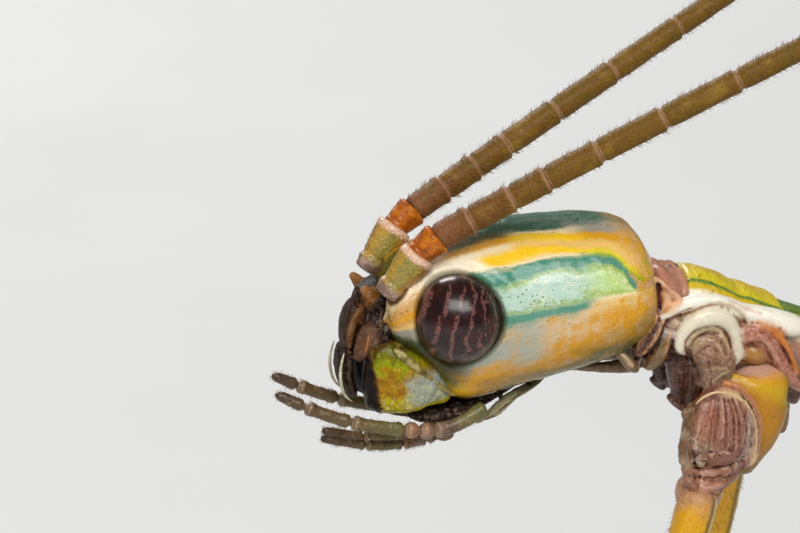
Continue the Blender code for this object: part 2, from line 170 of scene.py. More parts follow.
def gridParts(grid, fields=None, capped=(True, True)):
    # points, faces and fields of a tube-like grid of rows, its ends closed by a fan
    rows, cols = grid.shape[:2]
    points = [grid.reshape(-1, 3)]
    flat = {word: [np.broadcast_to(values, (rows, cols)).reshape(-1)] for word,
        values in (fields or {}).items()}
    r, c = np.meshgrid(np.arange(rows - 1), np.arange(cols), indexing="ij")
    after = (c + 1) % cols
    faces = np.stack([r * cols + c, (r + 1) * cols + c, (r + 1) * cols + after, r * cols + after],
        -1).reshape(-1, 4).tolist()
    total = rows * cols
    for end, row in ((0, 0), (1, rows - 1)):
        if not capped[end]:
            continue
        points.append(grid[row].mean(axis=0)[None])
        for word in flat:
            flat[word].append(np.array([np.broadcast_to(fields[word], (rows, cols))[row].mean()]))
        ring = [row * cols + k for k in range(cols)]
        for k in range(cols):
            pair = (ring[k], ring[(k + 1) % cols])
            faces.append((total, *pair) if end == 0 else (total, *pair[::-1]))
        total += 1
    return np.concatenate(points), faces, {w: np.concatenate(v) for w, v in flat.items()}


def joinParts(parts):
    points, faces, fields, total = [], [], {}, 0
    for somePoints, someFaces, someFields in parts:
        points.append(somePoints)
        faces += [tuple(k + total for k in face) for face in someFaces]
        for word, values in someFields.items():
            fields.setdefault(word, []).append(values)
        total += len(somePoints)
    return np.concatenate(points), faces, {w: np.concatenate(v) for w, v in fields.items()}


def fixNormals(piece):
    # all faces out, judged by the volume they enclose
    data = piece.data
    points = np.empty(len(data.vertices) * 3)
    data.vertices.foreach_get("co", points)
    points = points.reshape(-1, 3)
    points -= points.mean(axis=0)
    data.calc_loop_triangles()
    tris = np.empty(len(data.loop_triangles) * 3, np.int64)
    data.loop_triangles.foreach_get("vertices", tris)
    a, b, c = (points[tris.reshape(-1, 3)[:, k]] for k in range(3))
    if (a * np.cross(b, c)).sum() < 0:
        data.flip_normals()


def gridPiece(name, grid, nodes, material, fields=None, capped=(True, True)):
    piece = toMesh(name, *gridParts(grid, fields, capped))
    fixNormals(piece)
    return finishPiece(piece, nodes, material)


def joinedPiece(name, parts, nodes, material):
    piece = toMesh(name, *joinParts(parts))
    return finishPiece(piece, nodes, material)


def tube(stations, rows, cols, up=(0, 0, 1), power=2.0, rounded=(0.12, 0.12), shape=None):
    # grid round a smooth path of (x, y, z, half width, half height) stations.
    # rounded: how much of the length each end takes to close; shape(part, turn) adds
    # a height over the skin, in millimetres
    stations = np.asarray(stations, float)
    steps = np.linalg.norm(np.diff(stations[:, :3], axis=0), axis=1)
    place = np.concatenate([[0.0], np.cumsum(steps)])
    place /= place[-1]
    part = np.linspace(0.0, 1.0, rows)
    lead, tail = rounded
    ease = part
    if lead > 0:
        ease = np.where(part < 2 * lead, 2 * lead * (part / (2 * lead)) ** 1.6, ease)
    if tail > 0:
        back = 1 - part
        ease = np.where(back < 2 * tail, 1 - 2 * tail * (back / (2 * tail)) ** 1.6, ease)
    values = spline(ease, np.column_stack([place, stations]))
    path, wide, high = values[:, :3], values[:, 3], values[:, 4]
    close = np.ones(rows)
    if lead > 0:
        close *= np.sqrt(np.clip(1 - np.clip(1 - ease / lead, 0, 1) ** 2, 0, 1))
    if tail > 0:
        close *= np.sqrt(np.clip(1 - np.clip(1 - (1 - ease) / tail, 0, 1) ** 2, 0, 1))
    close = np.maximum(close, 0.02)
    along = unit(np.gradient(path, axis=0))
    side = unit(np.cross(along, np.asarray(up, float)))
    top = unit(np.cross(side, along))
    turn = 2 * np.pi * np.arange(cols) / cols
    x, z = squared(np.sin(turn), power), squared(np.cos(turn), power)
    grid = (path[:, None] + side[:, None] * (wide * close)[:, None, None] * x[None, :, None] + top[:, None]
        * (high * close)[:, None, None] * z[None, :, None])
    if shape is not None:
        height = shape(ease[:, None], turn[None, :]) * close[:, None]
        out = unit(grid - path[:, None])
        grid = grid + out * height[..., None]
    fields = {"along": np.repeat(ease[:, None], cols, 1),
        "around": np.repeat((turn / (2 * np.pi))[None], rows, 0)}
    return grid, fields


# materials

class Paint:
    # a Principled material with a few short-hand ways to add nodes

    def __init__(self, name, **sockets):
        self.material = bpy.data.materials.new(name)
        self.material.use_nodes = True
        self.tree = self.material.node_tree
        self.shader = self.tree.nodes["Principled BSDF"]
        self.millimetres = None
        for word, value in sockets.items():
            self.set(word, value)

    def socket(self, word):
        names = {"colour": "Base Color", "rough": "Roughness", "coat": "Coat Weight",
            "coatRough": "Coat Roughness", "soft": "Subsurface Weight", "softScale": "Subsurface Scale",
            "softRadius": "Subsurface Radius", "specular": "Specular IOR Level", "normal": "Normal"}
        return self.shader.inputs[names[word]]

    def set(self, word, value):
        self.feed(value, self.socket(word))
        return self

    def feed(self, value, socket):
        if isinstance(value, bpy.types.NodeSocket):
            self.tree.links.new(value, socket)
        elif isinstance(value, (int, float)):
            socket.default_value = value
        elif socket.type == "RGBA":
            socket.default_value = (*value[:3], 1.0)
        else:
            socket.default_value = value

    def add(self, kind, **settings):
        node = self.tree.nodes.new("ShaderNode" + kind)
        for word, value in settings.items():
            setattr(node, word, value)
        return node

    def field(self, word):
        return self.add("Attribute", attribute_name=word).outputs["Fac"]

    def place(self, stretch=(1, 1, 1)):
        # the point on the model, in millimetres
        node = self.add("Mapping")
        self.feed(self.add("TexCoord").outputs["Object"], node.inputs["Vector"])
        node.inputs["Scale"].default_value = [1000.0 * s for s in stretch]
        return node.outputs["Vector"]

    def spread(self, across, along, third=0.0):
        # a flat place made of two fields, for marks that follow the form
        node = self.add("CombineXYZ")
        for value, socket in zip((across, along, third), node.inputs):
            self.feed(value, socket)
        return node.outputs[0]

    def where(self, at):
        # a place made by nodes, or the point on the model stretched so much
        return at if isinstance(at, bpy.types.NodeSocket) else self.place(at)

    def noise(self, size, detail=3.0, gain=0.5, warp=0.0, at=(1, 1, 1), lows=0.0, highs=1.0):
        node = self.add("TexNoise")
        self.feed(self.where(at), node.inputs["Vector"])
        node.inputs["Scale"].default_value = 1.0 / size
        node.inputs["Detail"].default_value = detail
        node.inputs["Roughness"].default_value = gain
        node.inputs["Distortion"].default_value = warp
        if (lows, highs) == (0.0, 1.0):
            return node.outputs["Fac"]
        return self.between(node.outputs["Fac"], lows, highs)

    def cells(self, size, feature="F1", at=(1, 1, 1), spread=1.0):
        node = self.add("TexVoronoi", feature=feature)
        self.feed(self.where(at), node.inputs["Vector"])
        node.inputs["Scale"].default_value = 1.0 / size
        node.inputs["Randomness"].default_value = spread
        return node.outputs["Distance"]

    def between(self, value, low, high, first=0.0, last=1.0):
        # smooth step from low to high
        node = self.add("MapRange", interpolation_type="SMOOTHSTEP")
        for socket, number in zip(node.inputs, (value, low, high, first, last)):
            self.feed(number, socket)
        return node.outputs[0]

    def calc(self, operation, first, second=0.0, third=0.0):
        node = self.add("Math", operation=operation)
        for socket, number in zip(node.inputs, (first, second, third)):
            self.feed(number, socket)
        return node.outputs[0]

    def times(self, first, *others):
        for other in others:
            first = self.calc("MULTIPLY", first, other)
        return first

    def plus(self, base, value, scale=1.0):
        return self.calc("MULTIPLY_ADD", value, scale, base)

    def centred(self, value):
        return self.calc("SUBTRACT", value, 0.5)

    def sway(self, base, value, scale):
        # the base moved up and down by a noise
        return self.plus(base, self.centred(value), scale)

    def band(self, value, low, full, fullEnd, highEnd):
        # 0 outside low to highEnd, 1 from full to fullEnd
        return self.times(self.between(value, low, full), self.between(value, highEnd, fullEnd))

    def wash(self, first, second, value, low, high, most=1.0):
        # the second colour comes in as the value goes from low to high
        return self.mix(first, second, self.between(value, low, high, 0.0, most))

    def layers(self, colour, *washes):
        for wash in washes:
            colour = self.wash(colour, *wash)
        return colour

    def specks(self, colour, size, low, high, patch, lows, highs, most):
        # dark dots, in patches
        dots = self.between(self.cells(size), low, high)
        where = self.noise(patch, 2, lows=lows, highs=highs)
        return self.mix(colour, tint["umber"], self.times(dots, where, most))

    def ramp(self, value, *stops):
        node = self.add("ValToRGB")
        points = node.color_ramp.elements
        while len(points) < len(stops):
            points.new(0.5)
        for point, (position, colour) in zip(points, sorted(stops)):
            point.position = position
            point.color = (*colour, 1.0)
        self.feed(value, node.inputs["Fac"])
        return node.outputs["Color"]

    def mix(self, first, second, amount, blend="MIX"):
        node = self.add("Mix", data_type="RGBA", blend_type=blend)
        self.feed(amount, node.inputs["Factor"])
        self.feed(first, node.inputs[6])
        self.feed(second, node.inputs[7])
        return node.outputs[2]

    def bump(self, height, depth):
        # depth in millimetres for a height of one
        node = self.add("Bump")
        node.inputs["Strength"].default_value = 1.0
        node.inputs["Distance"].default_value = depth * mm
        self.feed(height, node.inputs["Height"])
        self.feed(node.outputs["Normal"], self.socket("normal"))

    def finish(self, colour, height, depth):
        self.set("colour", colour)
        self.bump(height, depth)
        return self.material


# colours

# the markings, one place to change them
tint = {
    "teal": (0.022, 0.12, 0.062),
    "tealLight": (0.085, 0.255, 0.175),
    # mint is the stripe's own pale green, whitened by a painted sheen
    "mint": (0.44, 0.6, 0.5),
    "mintYellow": (0.44, 0.6, 0.2),
    "lime": (0.24, 0.36, 0.012),
    "yellow": (0.82, 0.5, 0.003),
    "lemon": (0.66, 0.52, 0.02),
    "gold": (0.64, 0.29, 0.0002),
    "peach": (0.74, 0.46, 0.12),
    "tealDeep": (0.055, 0.225, 0.15),
    "tan": (0.54, 0.28, 0.065),
    "greenDark": (0.022, 0.045, 0.008),
    "cream": (0.78, 0.62, 0.34),
    "white": (0.8, 0.69, 0.5),
    "mist": (0.33, 0.37, 0.31),
    "blush": (0.6, 0.43, 0.24),
    "lavender": (0.3, 0.27, 0.2),
    "pink": (0.54, 0.3, 0.16),
    "olive": (0.1, 0.085, 0.003),
    "oliveDark": (0.03, 0.025, 0.002),
    "brown": (0.1, 0.045, 0.012),
    "umber": (0.022, 0.011, 0.005),
}

# head capsule

head = {
    # along, half width, top, bottom
    "form": ((-3.14, 1.55, 0.5, -0.4), (-2.9, 2.2, 1.15, -0.88), (-2.4, 2.8, 1.95, -1.6),
        (-1.5, 3.2, 2.6, -2.95), (-0.9, 3.34, 2.83, -4.2), (-0.3, 3.42, 3.0, -4.7), (0.6, 3.55, 3.1, -4.84),
        (2.0, 3.7, 3.12, -4.74), (4.0, 3.8, 2.92, -4.7), (6.0, 3.8, 2.58, -4.6), (7.6, 3.65, 2.22, -4.4),
        (8.8, 3.25, 1.78, -3.95), (9.5, 2.5, 1.12, -3.25), (9.85, 1.4, 0.25, -2.3)),
    "squareness": 2.2,
    "rows": 170,
    "cols": 240,
    "eye": (0.0, 2.85, 0.0),
    "eyeRadii": (1.96, 1.95, 2.06),
    "rimHeight": 0.05,
    "socket": (-2.62, 1.95, 1.92),      # where each feeler stands
    # where each stripe ends, as a share of the way from the top to the underside,
    # at these places along the head
    "stripePlaces": (-0.5, 1.2, 2.5, 3.3, 5.0, 6.6, 7.2, 7.65, 7.95, 8.2, 9.2, 9.85),
    "stripeEnds": (
        (0.1, 0.1, 0.075, 0.09, 0.105, 0.075, 0.075, 0.072, 0.068, 0.065, 0.06, 0.05),     # dark crown
        (0.14, 0.14, 0.125, 0.112, 0.122, 0.13, 0.134, 0.138, 0.143, 0.148, 0.155, 0.16),     # pale line
        (0.175, 0.175, 0.16, 0.155, 0.172, 0.18, 0.186, 0.196, 0.212, 0.235, 0.27, 0.28),   # upper yellow
        (0.215, 0.205, 0.195, 0.192, 0.203, 0.228, 0.232, 0.245, 0.27, 0.305, 0.36, 0.37),   # peach
        (0.245, 0.25, 0.262, 0.258, 0.24, 0.252, 0.258, 0.274, 0.305, 0.35, 0.42, 0.425),   # lower yellow
        (0.262, 0.262, 0.272, 0.27, 0.262, 0.264, 0.27, 0.288, 0.322, 0.372, 0.44, 0.442),   # cream
        (0.33, 0.335, 0.345, 0.34, 0.32, 0.306, 0.314, 0.338, 0.38, 0.44, 0.458, 0.46),    # upper teal
        (0.45, 0.45, 0.447, 0.447, 0.45, 0.448, 0.449, 0.451, 0.454, 0.457, 0.462, 0.465),     # mint
        (0.5, 0.5, 0.5, 0.497, 0.488, 0.472, 0.47, 0.468, 0.468, 0.468, 0.472, 0.475),     # lower teal
        (0.63, 0.62, 0.625, 0.615, 0.565, 0.51, 0.505, 0.505, 0.505, 0.505, 0.505, 0.505),     # white
        (0.86, 0.82, 0.77, 0.755, 0.735, 0.7, 0.7, 0.7, 0.7, 0.7, 0.7, 0.7),     # orange
    ),
}


def headSkin(s, turn):
    # point on the bare capsule at this place along it and turn round it (0 at the top)
    wide, top, bottom = np.moveaxis(spline(s, head["form"]), -1, 0)
    middle, tall = (top + bottom) / 2, (top - bottom) / 2
    y = wide * squared(np.sin(turn), head["squareness"])
    z = middle + tall * squared(np.cos(turn), head["squareness"])
    return np.stack(np.broadcast_arrays(s, y, z), -1)


def eyeDistance(local):
    # 1 on the outline of the eye, seen from the side
    a, c = local[..., 0] - head["eye"][0], local[..., 2] - head["eye"][2]
    return np.hypot(a / head["eyeRadii"][0], c / head["eyeRadii"][2])


def socketDistance(local):
    x, y, z = head["socket"]
    return np.sqrt((local[..., 0] - x) ** 2 + (np.abs(local[..., 1]) - y) ** 2 + (local[..., 2] - z) ** 2)


def stripeField(s, share):
    # 0 to 12: which stripe a place is in, and how far across it
    places = head["stripePlaces"]
    ends = np.array(head["stripeEnds"])
    here = spline(s.reshape(-1), np.column_stack([places, ends.T]))
    edges = np.column_stack([np.zeros(len(here)), here, np.ones(len(here))])
    flat = share.reshape(-1)
    field = np.zeros(len(flat))
    for k in range(edges.shape[1] - 1):
        low, high = edges[:, k], edges[:, k + 1]
        inside = (flat >= low) & (flat <= high)
        field[inside] = k + ((flat - low) / (high - low))[inside]
    return field.reshape(share.shape)


def headGrid():
    rows, cols = head["rows"], head["cols"]
    part = np.linspace(0, 1, rows)
    s = head["form"][0][0] + (head["form"][-1][0] - head["form"][0][0]) * part
    turn = 2 * np.pi * (np.arange(cols) + 0.5) / cols
    s2, turn2 = np.meshgrid(s, turn, indexing="ij")
    local = headSkin(s2, turn2)
    share = np.minimum(turn2, 2 * np.pi - turn2) / np.pi
    side = np.abs(local[..., 1])
    eye = eyeDistance(local)
    onSide = smooth(1.2, 2.6, side)
    out = gridNormals(local)
    if (out[rows // 2, cols // 2] @ np.array((0, 0, -1.0))) < 0:
        out = -out
    # the eye stands out of a shallow moat with a thin lip
    lift = head["rimHeight"] * bell(eye, 1.11, 0.06) * onSide
    lift -= 0.3 * smooth(1.1, 0.97, eye) * onSide
    lift -= 0.45 * smooth(0.9, 0.7, eye) * onSide
    lift += 0.12 * bell(eye, 1.35, 0.25) * smooth(-0.5, 1.0, local[..., 2]) * onSide
    socket = socketDistance(local)
    lift += 0.05 * bell(socket, 0.9, 0.12)
    # frons between the feelers, sunk below the cheeks
    lift -= 0.45 * smooth(-1.2, -2.6, s2) * smooth(1.6, 0.6, side) * smooth(0.6, 0.4, share)
    # low ridge from the eye to the socket, corner of the cheek
    lift += 0.14 * bell(share, 0.3 + 0.045 * smooth(-1.0, -2.4, s2), 0.03) * bell(s2, -1.7, 0.75)
    lift += 0.22 * bell(s2, -3.45, 0.35) * bell(share, 0.4, 0.1)
    # faint seams down the crown
    lift -= 0.05 * bell(share, 0.0, 0.01) * smooth(0.4, 2.0, s2)
    lift -= 0.035 * bell(share, 0.185, 0.012) * smooth(1.5, 3.0, s2) * smooth(9.0, 7.0, s2)
    # the back rolls in to the neck behind a low fold
    lift += 0.04 * bell(s2, 8.85, 0.35) - 0.02 * bell(s2, 8.25, 0.3)
    lift += 0.03 * rough(local, 1.7, 3.0) + 0.012 * rough(local, 0.5, 8.0)
    local = local + out * lift[..., None]
    fields = {"along": s2, "share": share, "stripe": stripeField(s2, share), "eyeway": eye,
        "across": local[..., 1], "socketway": socket}
    # close both ends with a few drawn-in rows
    def drawnIn(row, scale, shift):
        middle = row.mean(axis=0)
        row = middle + (row - middle) * scale
        row[:, 0] += shift
        return row

    front = [drawnIn(local[0], *how) for how in ((0.05, -0.16), (0.45, -0.14), (0.8, -0.08))]
    back = [drawnIn(local[-1], *how) for how in ((0.85, 0.04), (0.45, 0.06))]
    local = np.concatenate([front, local, back])
    fields = {word: np.concatenate([np.repeat(values[:1], len(front), 0), values,
        np.repeat(values[-1:], len(back), 0)]) for word, values in fields.items()}
    return local @ headTurn.T, fields


def headPaint():
    paint = Paint("headPaint", rough=0.42, coat=0.5, coatRough=0.12, soft=0.06, softScale=0.5 * mm,
        softRadius=(1.0, 0.6, 0.25), specular=0.18)
    t = tint
    along, share = paint.field("along"), paint.field("share")
    eye, socket = paint.field("eyeway"), paint.field("socketway")
    # stripe edges wander a little
    wander = paint.centred(paint.noise(0.9, 4, 0.55, at=(0.45, 1, 1)))
    ragged = paint.centred(paint.noise(0.16, 3, 0.6, at=(0.5, 1, 1)))
    shift = paint.plus(paint.times(wander, 1.3), paint.times(ragged, 0.55))
    stripe = paint.plus(paint.field("stripe"), shift)
    count = len(head["stripeEnds"]) + 1
    stripePart = paint.calc("DIVIDE", stripe, count)

    def stripes(*colours):
        # each colour holds part of its stripe and runs softly into the next; a third
        # value moves its middle
        stops = []
        for k, (word, firm, *nudge) in enumerate(colours):
            middle = k + 0.5 + (nudge[0] if nudge else 0.0)
            stops.append(((middle - firm / 2) / count, t[word]))
            if firm > 0.05:
                stops.append(((middle + firm / 2) / count, t[word]))
        return paint.ramp(stripePart, *stops)

    middle = stripes(("teal", .6), ("cream", .3), ("yellow", .5), ("peach", .4), ("yellow", .5),
        ("cream", .3), ("tealDeep", .6), ("mint", .70), ("tealLight", .5), ("blush", .4), ("gold", .5),
        ("olive", .5))
    front = stripes(("teal", .6), ("olive", .4), ("gold", .4), ("cream", .5), ("yellow", .6), ("cream", .3),
        ("tealDeep", .6), ("mint", .60), ("tealLight", .5), ("mist", .6), ("gold", .4), ("olive", .5))
    rear = stripes(("teal", .2), ("lavender", .6), ("gold", .4), ("peach", .6), ("lemon", .4), ("lime", .3),
        ("tealDeep", .6), ("mintYellow", .7), ("cream", .2), ("peach", .3), ("gold", .9), ("olive", .5))
    wavy = paint.plus(along, wander, 1.6)
    skin = paint.wash(front, middle, wavy, 2.6, 3.8)
    skin = paint.wash(skin, rear, wavy, 5.4, 7.2)

    # the face in front of the eye
    place = paint.plus(share, wander, 0.05)
    place = paint.plus(place, ragged, 0.05)
    place = paint.plus(place, paint.plus(along, 2.4), 0.055)
    face = paint.ramp(place, (0.0, t["olive"]), (0.13, t["olive"]), (0.17, t["gold"]), (0.22, t["peach"]),
        (0.3, t["cream"]), (0.345, t["tan"]), (0.4, t["tan"]), (0.445, t["gold"]), (0.475, t["tan"]),
        (0.505, t["peach"]), (0.53, t["lavender"]), (0.565, t["lavender"]), (0.615, t["greenDark"]),
        (0.7, t["oliveDark"]), (0.8, t["olive"]), (0.87, t["yellow"]), (0.925, t["gold"]),
        (0.95, t["olive"]), (0.985, t["umber"]))
    nearEye = paint.times(paint.between(paint.plus(eye, wander, 0.3), 1.42, 1.14),
        paint.between(place, 0.39, 0.29))
    face = paint.mix(face, t["white"], paint.times(nearEye, 0.95))
    skin = paint.wash(face, skin, wavy, -0.9, 0.7)
    # brown where the front of the face begins
    skin = paint.wash(skin, t["brown"], wavy, -2.88, -3.08, 0.6)
    # behind the eye's top the pale stripe spreads into white
    glow = paint.band(stripe, 3.0, 3.5, 5.7, 6.3)
    glow = paint.times(glow, paint.between(wavy, 1.9, 0.9))
    skin = paint.mix(skin, t["cream"], paint.times(glow, 0.9))
    glow = paint.times(glow, paint.between(paint.plus(eye, wander, 0.3), 1.65, 1.2))
    skin = paint.mix(skin, t["white"], glow)
    # lime edges the mint stripe
    for low, high, peak in ((6.75, 7.35, 7.02), (7.72, 8.2, 7.95)):
        edge = paint.times(paint.between(stripe, low, peak), paint.between(stripe, high, peak))
        edge = paint.times(edge, paint.between(along, 1.6, 2.6))
        skin = paint.mix(skin, t["lime"], paint.times(edge, 0.62))

    # the end plate loses the stripes in a mosaic of peach, gold and olive
    mosaic = paint.noise(0.55, 4, 0.65, 0.6)
    patch = paint.ramp(mosaic, (0.3, t["peach"]), (0.44, t["pink"]), (0.54, t["gold"]), (0.68, t["lime"]))
    outside = paint.calc("MAXIMUM", paint.between(stripe, 6.2, 5.6), paint.between(stripe, 8.0, 8.6))
    skin = paint.mix(skin, patch, paint.times(paint.between(wavy, 7.8, 9.0, 0.0, 0.7), outside))

    # the teal arch closes before the end plate
    tail = paint.band(stripe, 5.4, 6.0, 8.6, 9.2)
    tail = paint.times(tail, paint.between(wavy, 8.0, 8.45))
    skin = paint.mix(skin, patch, paint.times(tail, 0.95))

    # white and orange run in and out along the lower side
    low = paint.band(stripe, 8.7, 9.3, 10.7, 11.2)
    low = paint.times(low, paint.between(along, 1.0, 2.2))
    run = paint.noise(0.55, 4, 0.6, 0.4, at=(0.9, 1, 0.5))
    skin = paint.mix(skin, t["blush"], paint.times(paint.between(run, 0.48, 0.7, 0.0, 0.6), low))
    skin = paint.mix(skin, t["gold"], paint.times(paint.between(run, 0.54, 0.36, 0.0, 0.9), low))
    cool = paint.times(paint.between(along, 4.6, 3.0), paint.between(stripe, 10.6, 9.9))
    skin = paint.mix(skin, t["mist"], paint.times(cool, low, 0.55))

    # darker towards the underside
    skin = paint.mix(skin, t["olive"], paint.times(paint.between(stripe, 10.1, 11.0, 0.0, 0.55),
        paint.between(along, -0.5, 0.8)))
    # painted highlights: white glints flecked over the mint
    glintNoise = paint.noise(0.085, 2, 0.5, at=(0.6, 1, 1))
    glintPatch = paint.band(stripe, 6.9, 7.2, 7.9, 8.3)
    glintPatch = paint.times(glintPatch, paint.between(along, 2.0, 2.6), paint.noise(0.9, 2, lows=0.42, highs=0.58))
    skin = paint.mix(skin, t["white"], paint.times(glintPatch, paint.between(glintNoise, 0.54, 0.64, 0.0, 0.75)))
    # streaks that run along the head, then veins and specks
    streak = paint.noise(0.11, 5, 0.7, 0.3, at=(0.18, 1, 1))
    pale = paint.times(paint.between(streak, 0.55, 0.8, 0.0, 0.24),
        paint.between(stripe, 9.0, 8.2, 0.25, 1.0))
    skin = paint.mix(skin, t["white"], pale)
    skin = paint.wash(skin, t["olive"], streak, 0.44, 0.24, 0.4)
    crooked = paint.add("VectorMath", operation="MULTIPLY_ADD")
    wobble = paint.add("TexNoise")
    wobble.inputs["Scale"].default_value = 4000.0    # bends a quarter of a millimetre across
    paint.feed(paint.add("TexCoord").outputs["Object"], wobble.inputs["Vector"])
    paint.feed(wobble.outputs["Color"], crooked.inputs[0])
    crooked.inputs[1].default_value = (0.16, 0.16, 0.16)
    paint.feed(paint.place((0.8, 1, 1)), crooked.inputs[2])
    veins = paint.cells(0.22, "DISTANCE_TO_EDGE", at=crooked.outputs["Vector"])
    pale = paint.mix(skin, t["white"], 0.55)
    faint = paint.noise(1.2, 2, lows=0.42, highs=0.64)
    skin = paint.mix(skin, pale, paint.times(paint.between(veins, 0.09, 0.0, 0.0, 0.24), faint))
    skin = paint.specks(skin, 0.3, 0.17, 0.08, 0.8, 0.48, 0.62, 0.75)
    inMint = paint.band(stripe, 7.05, 7.25, 7.8, 8.0)
    inMint = paint.times(inMint, paint.between(along, 8.0, 6.0))
    fine = paint.between(paint.cells(0.24), 0.26, 0.15)
    fine = paint.times(fine, paint.between(along, 5.4, 3.6, 0.25, 1.0))
    skin = paint.mix(skin, t["teal"], paint.times(inMint, fine, 0.75))

    # rim round the eye, dark seam at the mouth, brown round the feeler
    skin = paint.layers(skin, (t["olive"], eye, 1.09, 1.03, 0.55), (t["umber"], eye, 1.04, 0.99, 0.95),
        (t["brown"], socket, 0.98, 0.8, 0.92))
    paint.set("colour", skin)

    # leathery pits; the mint stripe is smooth and wet
    pits = paint.plus(paint.noise(0.1, 4, 0.6), paint.times(veins, 0.5))
    lumps = paint.plus(pits, paint.noise(0.45, 3), 1.6)
    paint.bump(lumps, 0.045)
    gloss = paint.between(paint.noise(0.7, 3), 0.35, 0.65, 0.52, 0.34)
    paint.set("rough", paint.plus(gloss, inMint, -0.12))
    return paint.material


grid, fields = headGrid()
headPiece = gridPiece("headCapsule", grid, ["head_capsule"], headPaint(), fields)
print("head capsule", len(headPiece.data.vertices))


# eyes

eyes = {
    "depth": (0.012, 0.0022, 0.0018),   # the dark maroon
    "edge": (0.04, 0.0075, 0.0055),
    "streak": (0.24, 0.092, 0.078),
    "lines": 1.45,                      # upright lines to a millimetre
    "lineWidth": 0.2,
}


def eyePaint():
    paint = Paint("eyePaint", rough=0.44, coat=0.75, coatRough=0.22, specular=0.08)
    # wavy upright lines that follow the front edge, broken up; u runs back, v up
    u, v = paint.field("ahead"), paint.field("high")
    bowed = paint.plus(u, paint.times(v, v), -0.15)
    bowed = paint.plus(bowed, v, -0.33)
    flat = paint.spread(bowed, paint.times(v, 0.75), paint.field("side"))
    bend = paint.centred(paint.noise(0.8, 3, 0.55, 0.3, at=flat))
    # nearly straight in front, squiggles towards the back and below
    loose = paint.between(paint.plus(u, v, -0.35), -1.0, 1.2, 0.4, 2.2)
    wave = paint.plus(bowed, bend, loose)
    line = paint.calc("PINGPONG", paint.times(wave, eyes["lines"]), 0.5)
    line = paint.between(line, eyes["lineWidth"], eyes["lineWidth"] * 0.5)
    broken = paint.noise(0.42, 3, 0.55, 0.4, at=paint.spread(u, v, 4.0), lows=0.4, highs=0.5)
    grain = paint.noise(0.085, 3, 0.6, at=paint.spread(u, v, 9.0), lows=0.34, highs=0.52)
    marks = paint.times(line, broken, grain)
    dust = paint.times(paint.between(paint.cells(0.16, at=paint.spread(u, v)), 0.16, 0.08),
        paint.noise(0.5, 2, at=paint.spread(u, v, 2.0), lows=0.5, highs=0.6))
    marks = paint.calc("MAXIMUM", marks, paint.times(dust, 0.5))
    curls = paint.calc("ABSOLUTE", paint.centred(paint.noise(0.45, 2, 0.5, 0.8,
        at=paint.spread(u, v, 6.0))))
    curls = paint.times(paint.between(curls, 0.03, 0.012), paint.noise(0.34, 2, at=paint.spread(u, v, 3.0),
        lows=0.5, highs=0.58))
    curls = paint.times(curls, paint.between(paint.plus(u, v, -0.6), -0.1, 0.9))
    marks = paint.calc("MAXIMUM", marks, paint.times(curls, grain))
    cloud = paint.noise(0.8, 3, at=paint.spread(u, v))
    base = paint.wash(eyes["depth"], eyes["edge"], cloud, 0.4, 0.72, 0.75)
    colour = paint.mix(base, eyes["streak"], paint.times(marks, 0.62))
    # hundreds of facets, too fine to see singly
    facets = paint.cells(0.045, at=paint.spread(u, v, paint.field("side")))
    return paint.finish(colour, facets, 0.003)


def eyeball(word, sign, material):
    rows, cols = 90, 120
    tilt = np.linspace(0.02, np.pi - 0.02, rows)
    turn = 2 * np.pi * np.arange(cols) / cols
    tilt2, turn2 = np.meshgrid(tilt, turn, indexing="ij")
    ball = np.stack([np.sin(tilt2) * np.cos(turn2), sign * np.cos(tilt2),
        np.sin(tilt2) * np.sin(turn2)], -1)
    radii = np.array(head["eyeRadii"])
    centre = np.array((head["eye"][0], sign * head["eye"][1], head["eye"][2]))
    local = centre + ball * radii
    fields = {"ahead": ball[..., 0] * radii[0], "high": ball[..., 2] * radii[2],
        "side": np.abs(ball[..., 1]) * radii[1]}
    return gridPiece("eyeBall_" + word, local @ headTurn.T, ["eye_" + word], material, fields)


material = eyePaint()
for word, sign in sides:
    eyeball(word, sign, material)
print("eyes")


# bristles

def bristles(name, roots, ways, lengths, thick, places, material, fields=None, bend=0.25):
    # short bent hairs, each a closed spike of ten triangles, with an unwrap that
    # keeps each one at its root's place on the skin
    roots, ways = np.asarray(roots, float), unit(ways)
    count = len(roots)
    rng = np.random.default_rng(len(name) + count)
    lengths = np.broadcast_to(lengths, count) * rng.uniform(0.7, 1.25, count)
    thick = np.broadcast_to(thick, count)
    side = unit(np.cross(ways, rng.normal(size=(count, 3))))
    other = np.cross(ways, side)
    lean = (side * rng.normal(0, 0.6, count)[:, None] + other * rng.normal(0, 0.6, count)[:, None]) * bend
    points = np.empty((count, 7, 3))
    for level, (reach, width) in enumerate(((-0.15, 1.0), (0.5, 0.75))):
        centre = roots + (ways * reach + lean * max(reach, 0) ** 2) * lengths[:, None]
        for k in range(3):
            turn = 2 * math.pi * k / 3
            points[:, level * 3 + k] = centre + (
                side * math.cos(turn) + other * math.sin(turn)) * (thick * width)[:, None]
    points[:, 6] = roots + (ways + lean) * lengths[:, None]
    spike = np.array([(0, 1, 4), (0, 4, 3), (1, 2, 5), (1, 5, 4), (2, 0, 3), (2, 3, 5), (3, 4, 6),
        (4, 5, 6), (5, 3, 6), (0, 2, 1)])
    faces = (spike[None] + 7 * np.arange(count)[:, None, None]).reshape(-1, 3)
    spread = {word: np.repeat(values, 7) for word, values in (fields or {}).items()}
    piece = toMesh(name, points.reshape(-1, 3), faces.tolist(), spread)
    corner = np.array([(0.0, 0.0), (0.5, 0.0), (0.25, 0.2), (0.0, 0.6), (0.5, 0.6), (0.25, 0.8),
        (0.25, 1.0)])
    layer = piece.data.uv_layers.new(name="OFBake")
    patch = 0.003    # how much of the unwrap one hair takes
    spots = np.asarray(places)[faces // 7] + corner[faces % 7] * patch
    layer.data.foreach_set("uv", spots.reshape(-1).astype(np.float32))
    return finishPiece(piece, None, material)


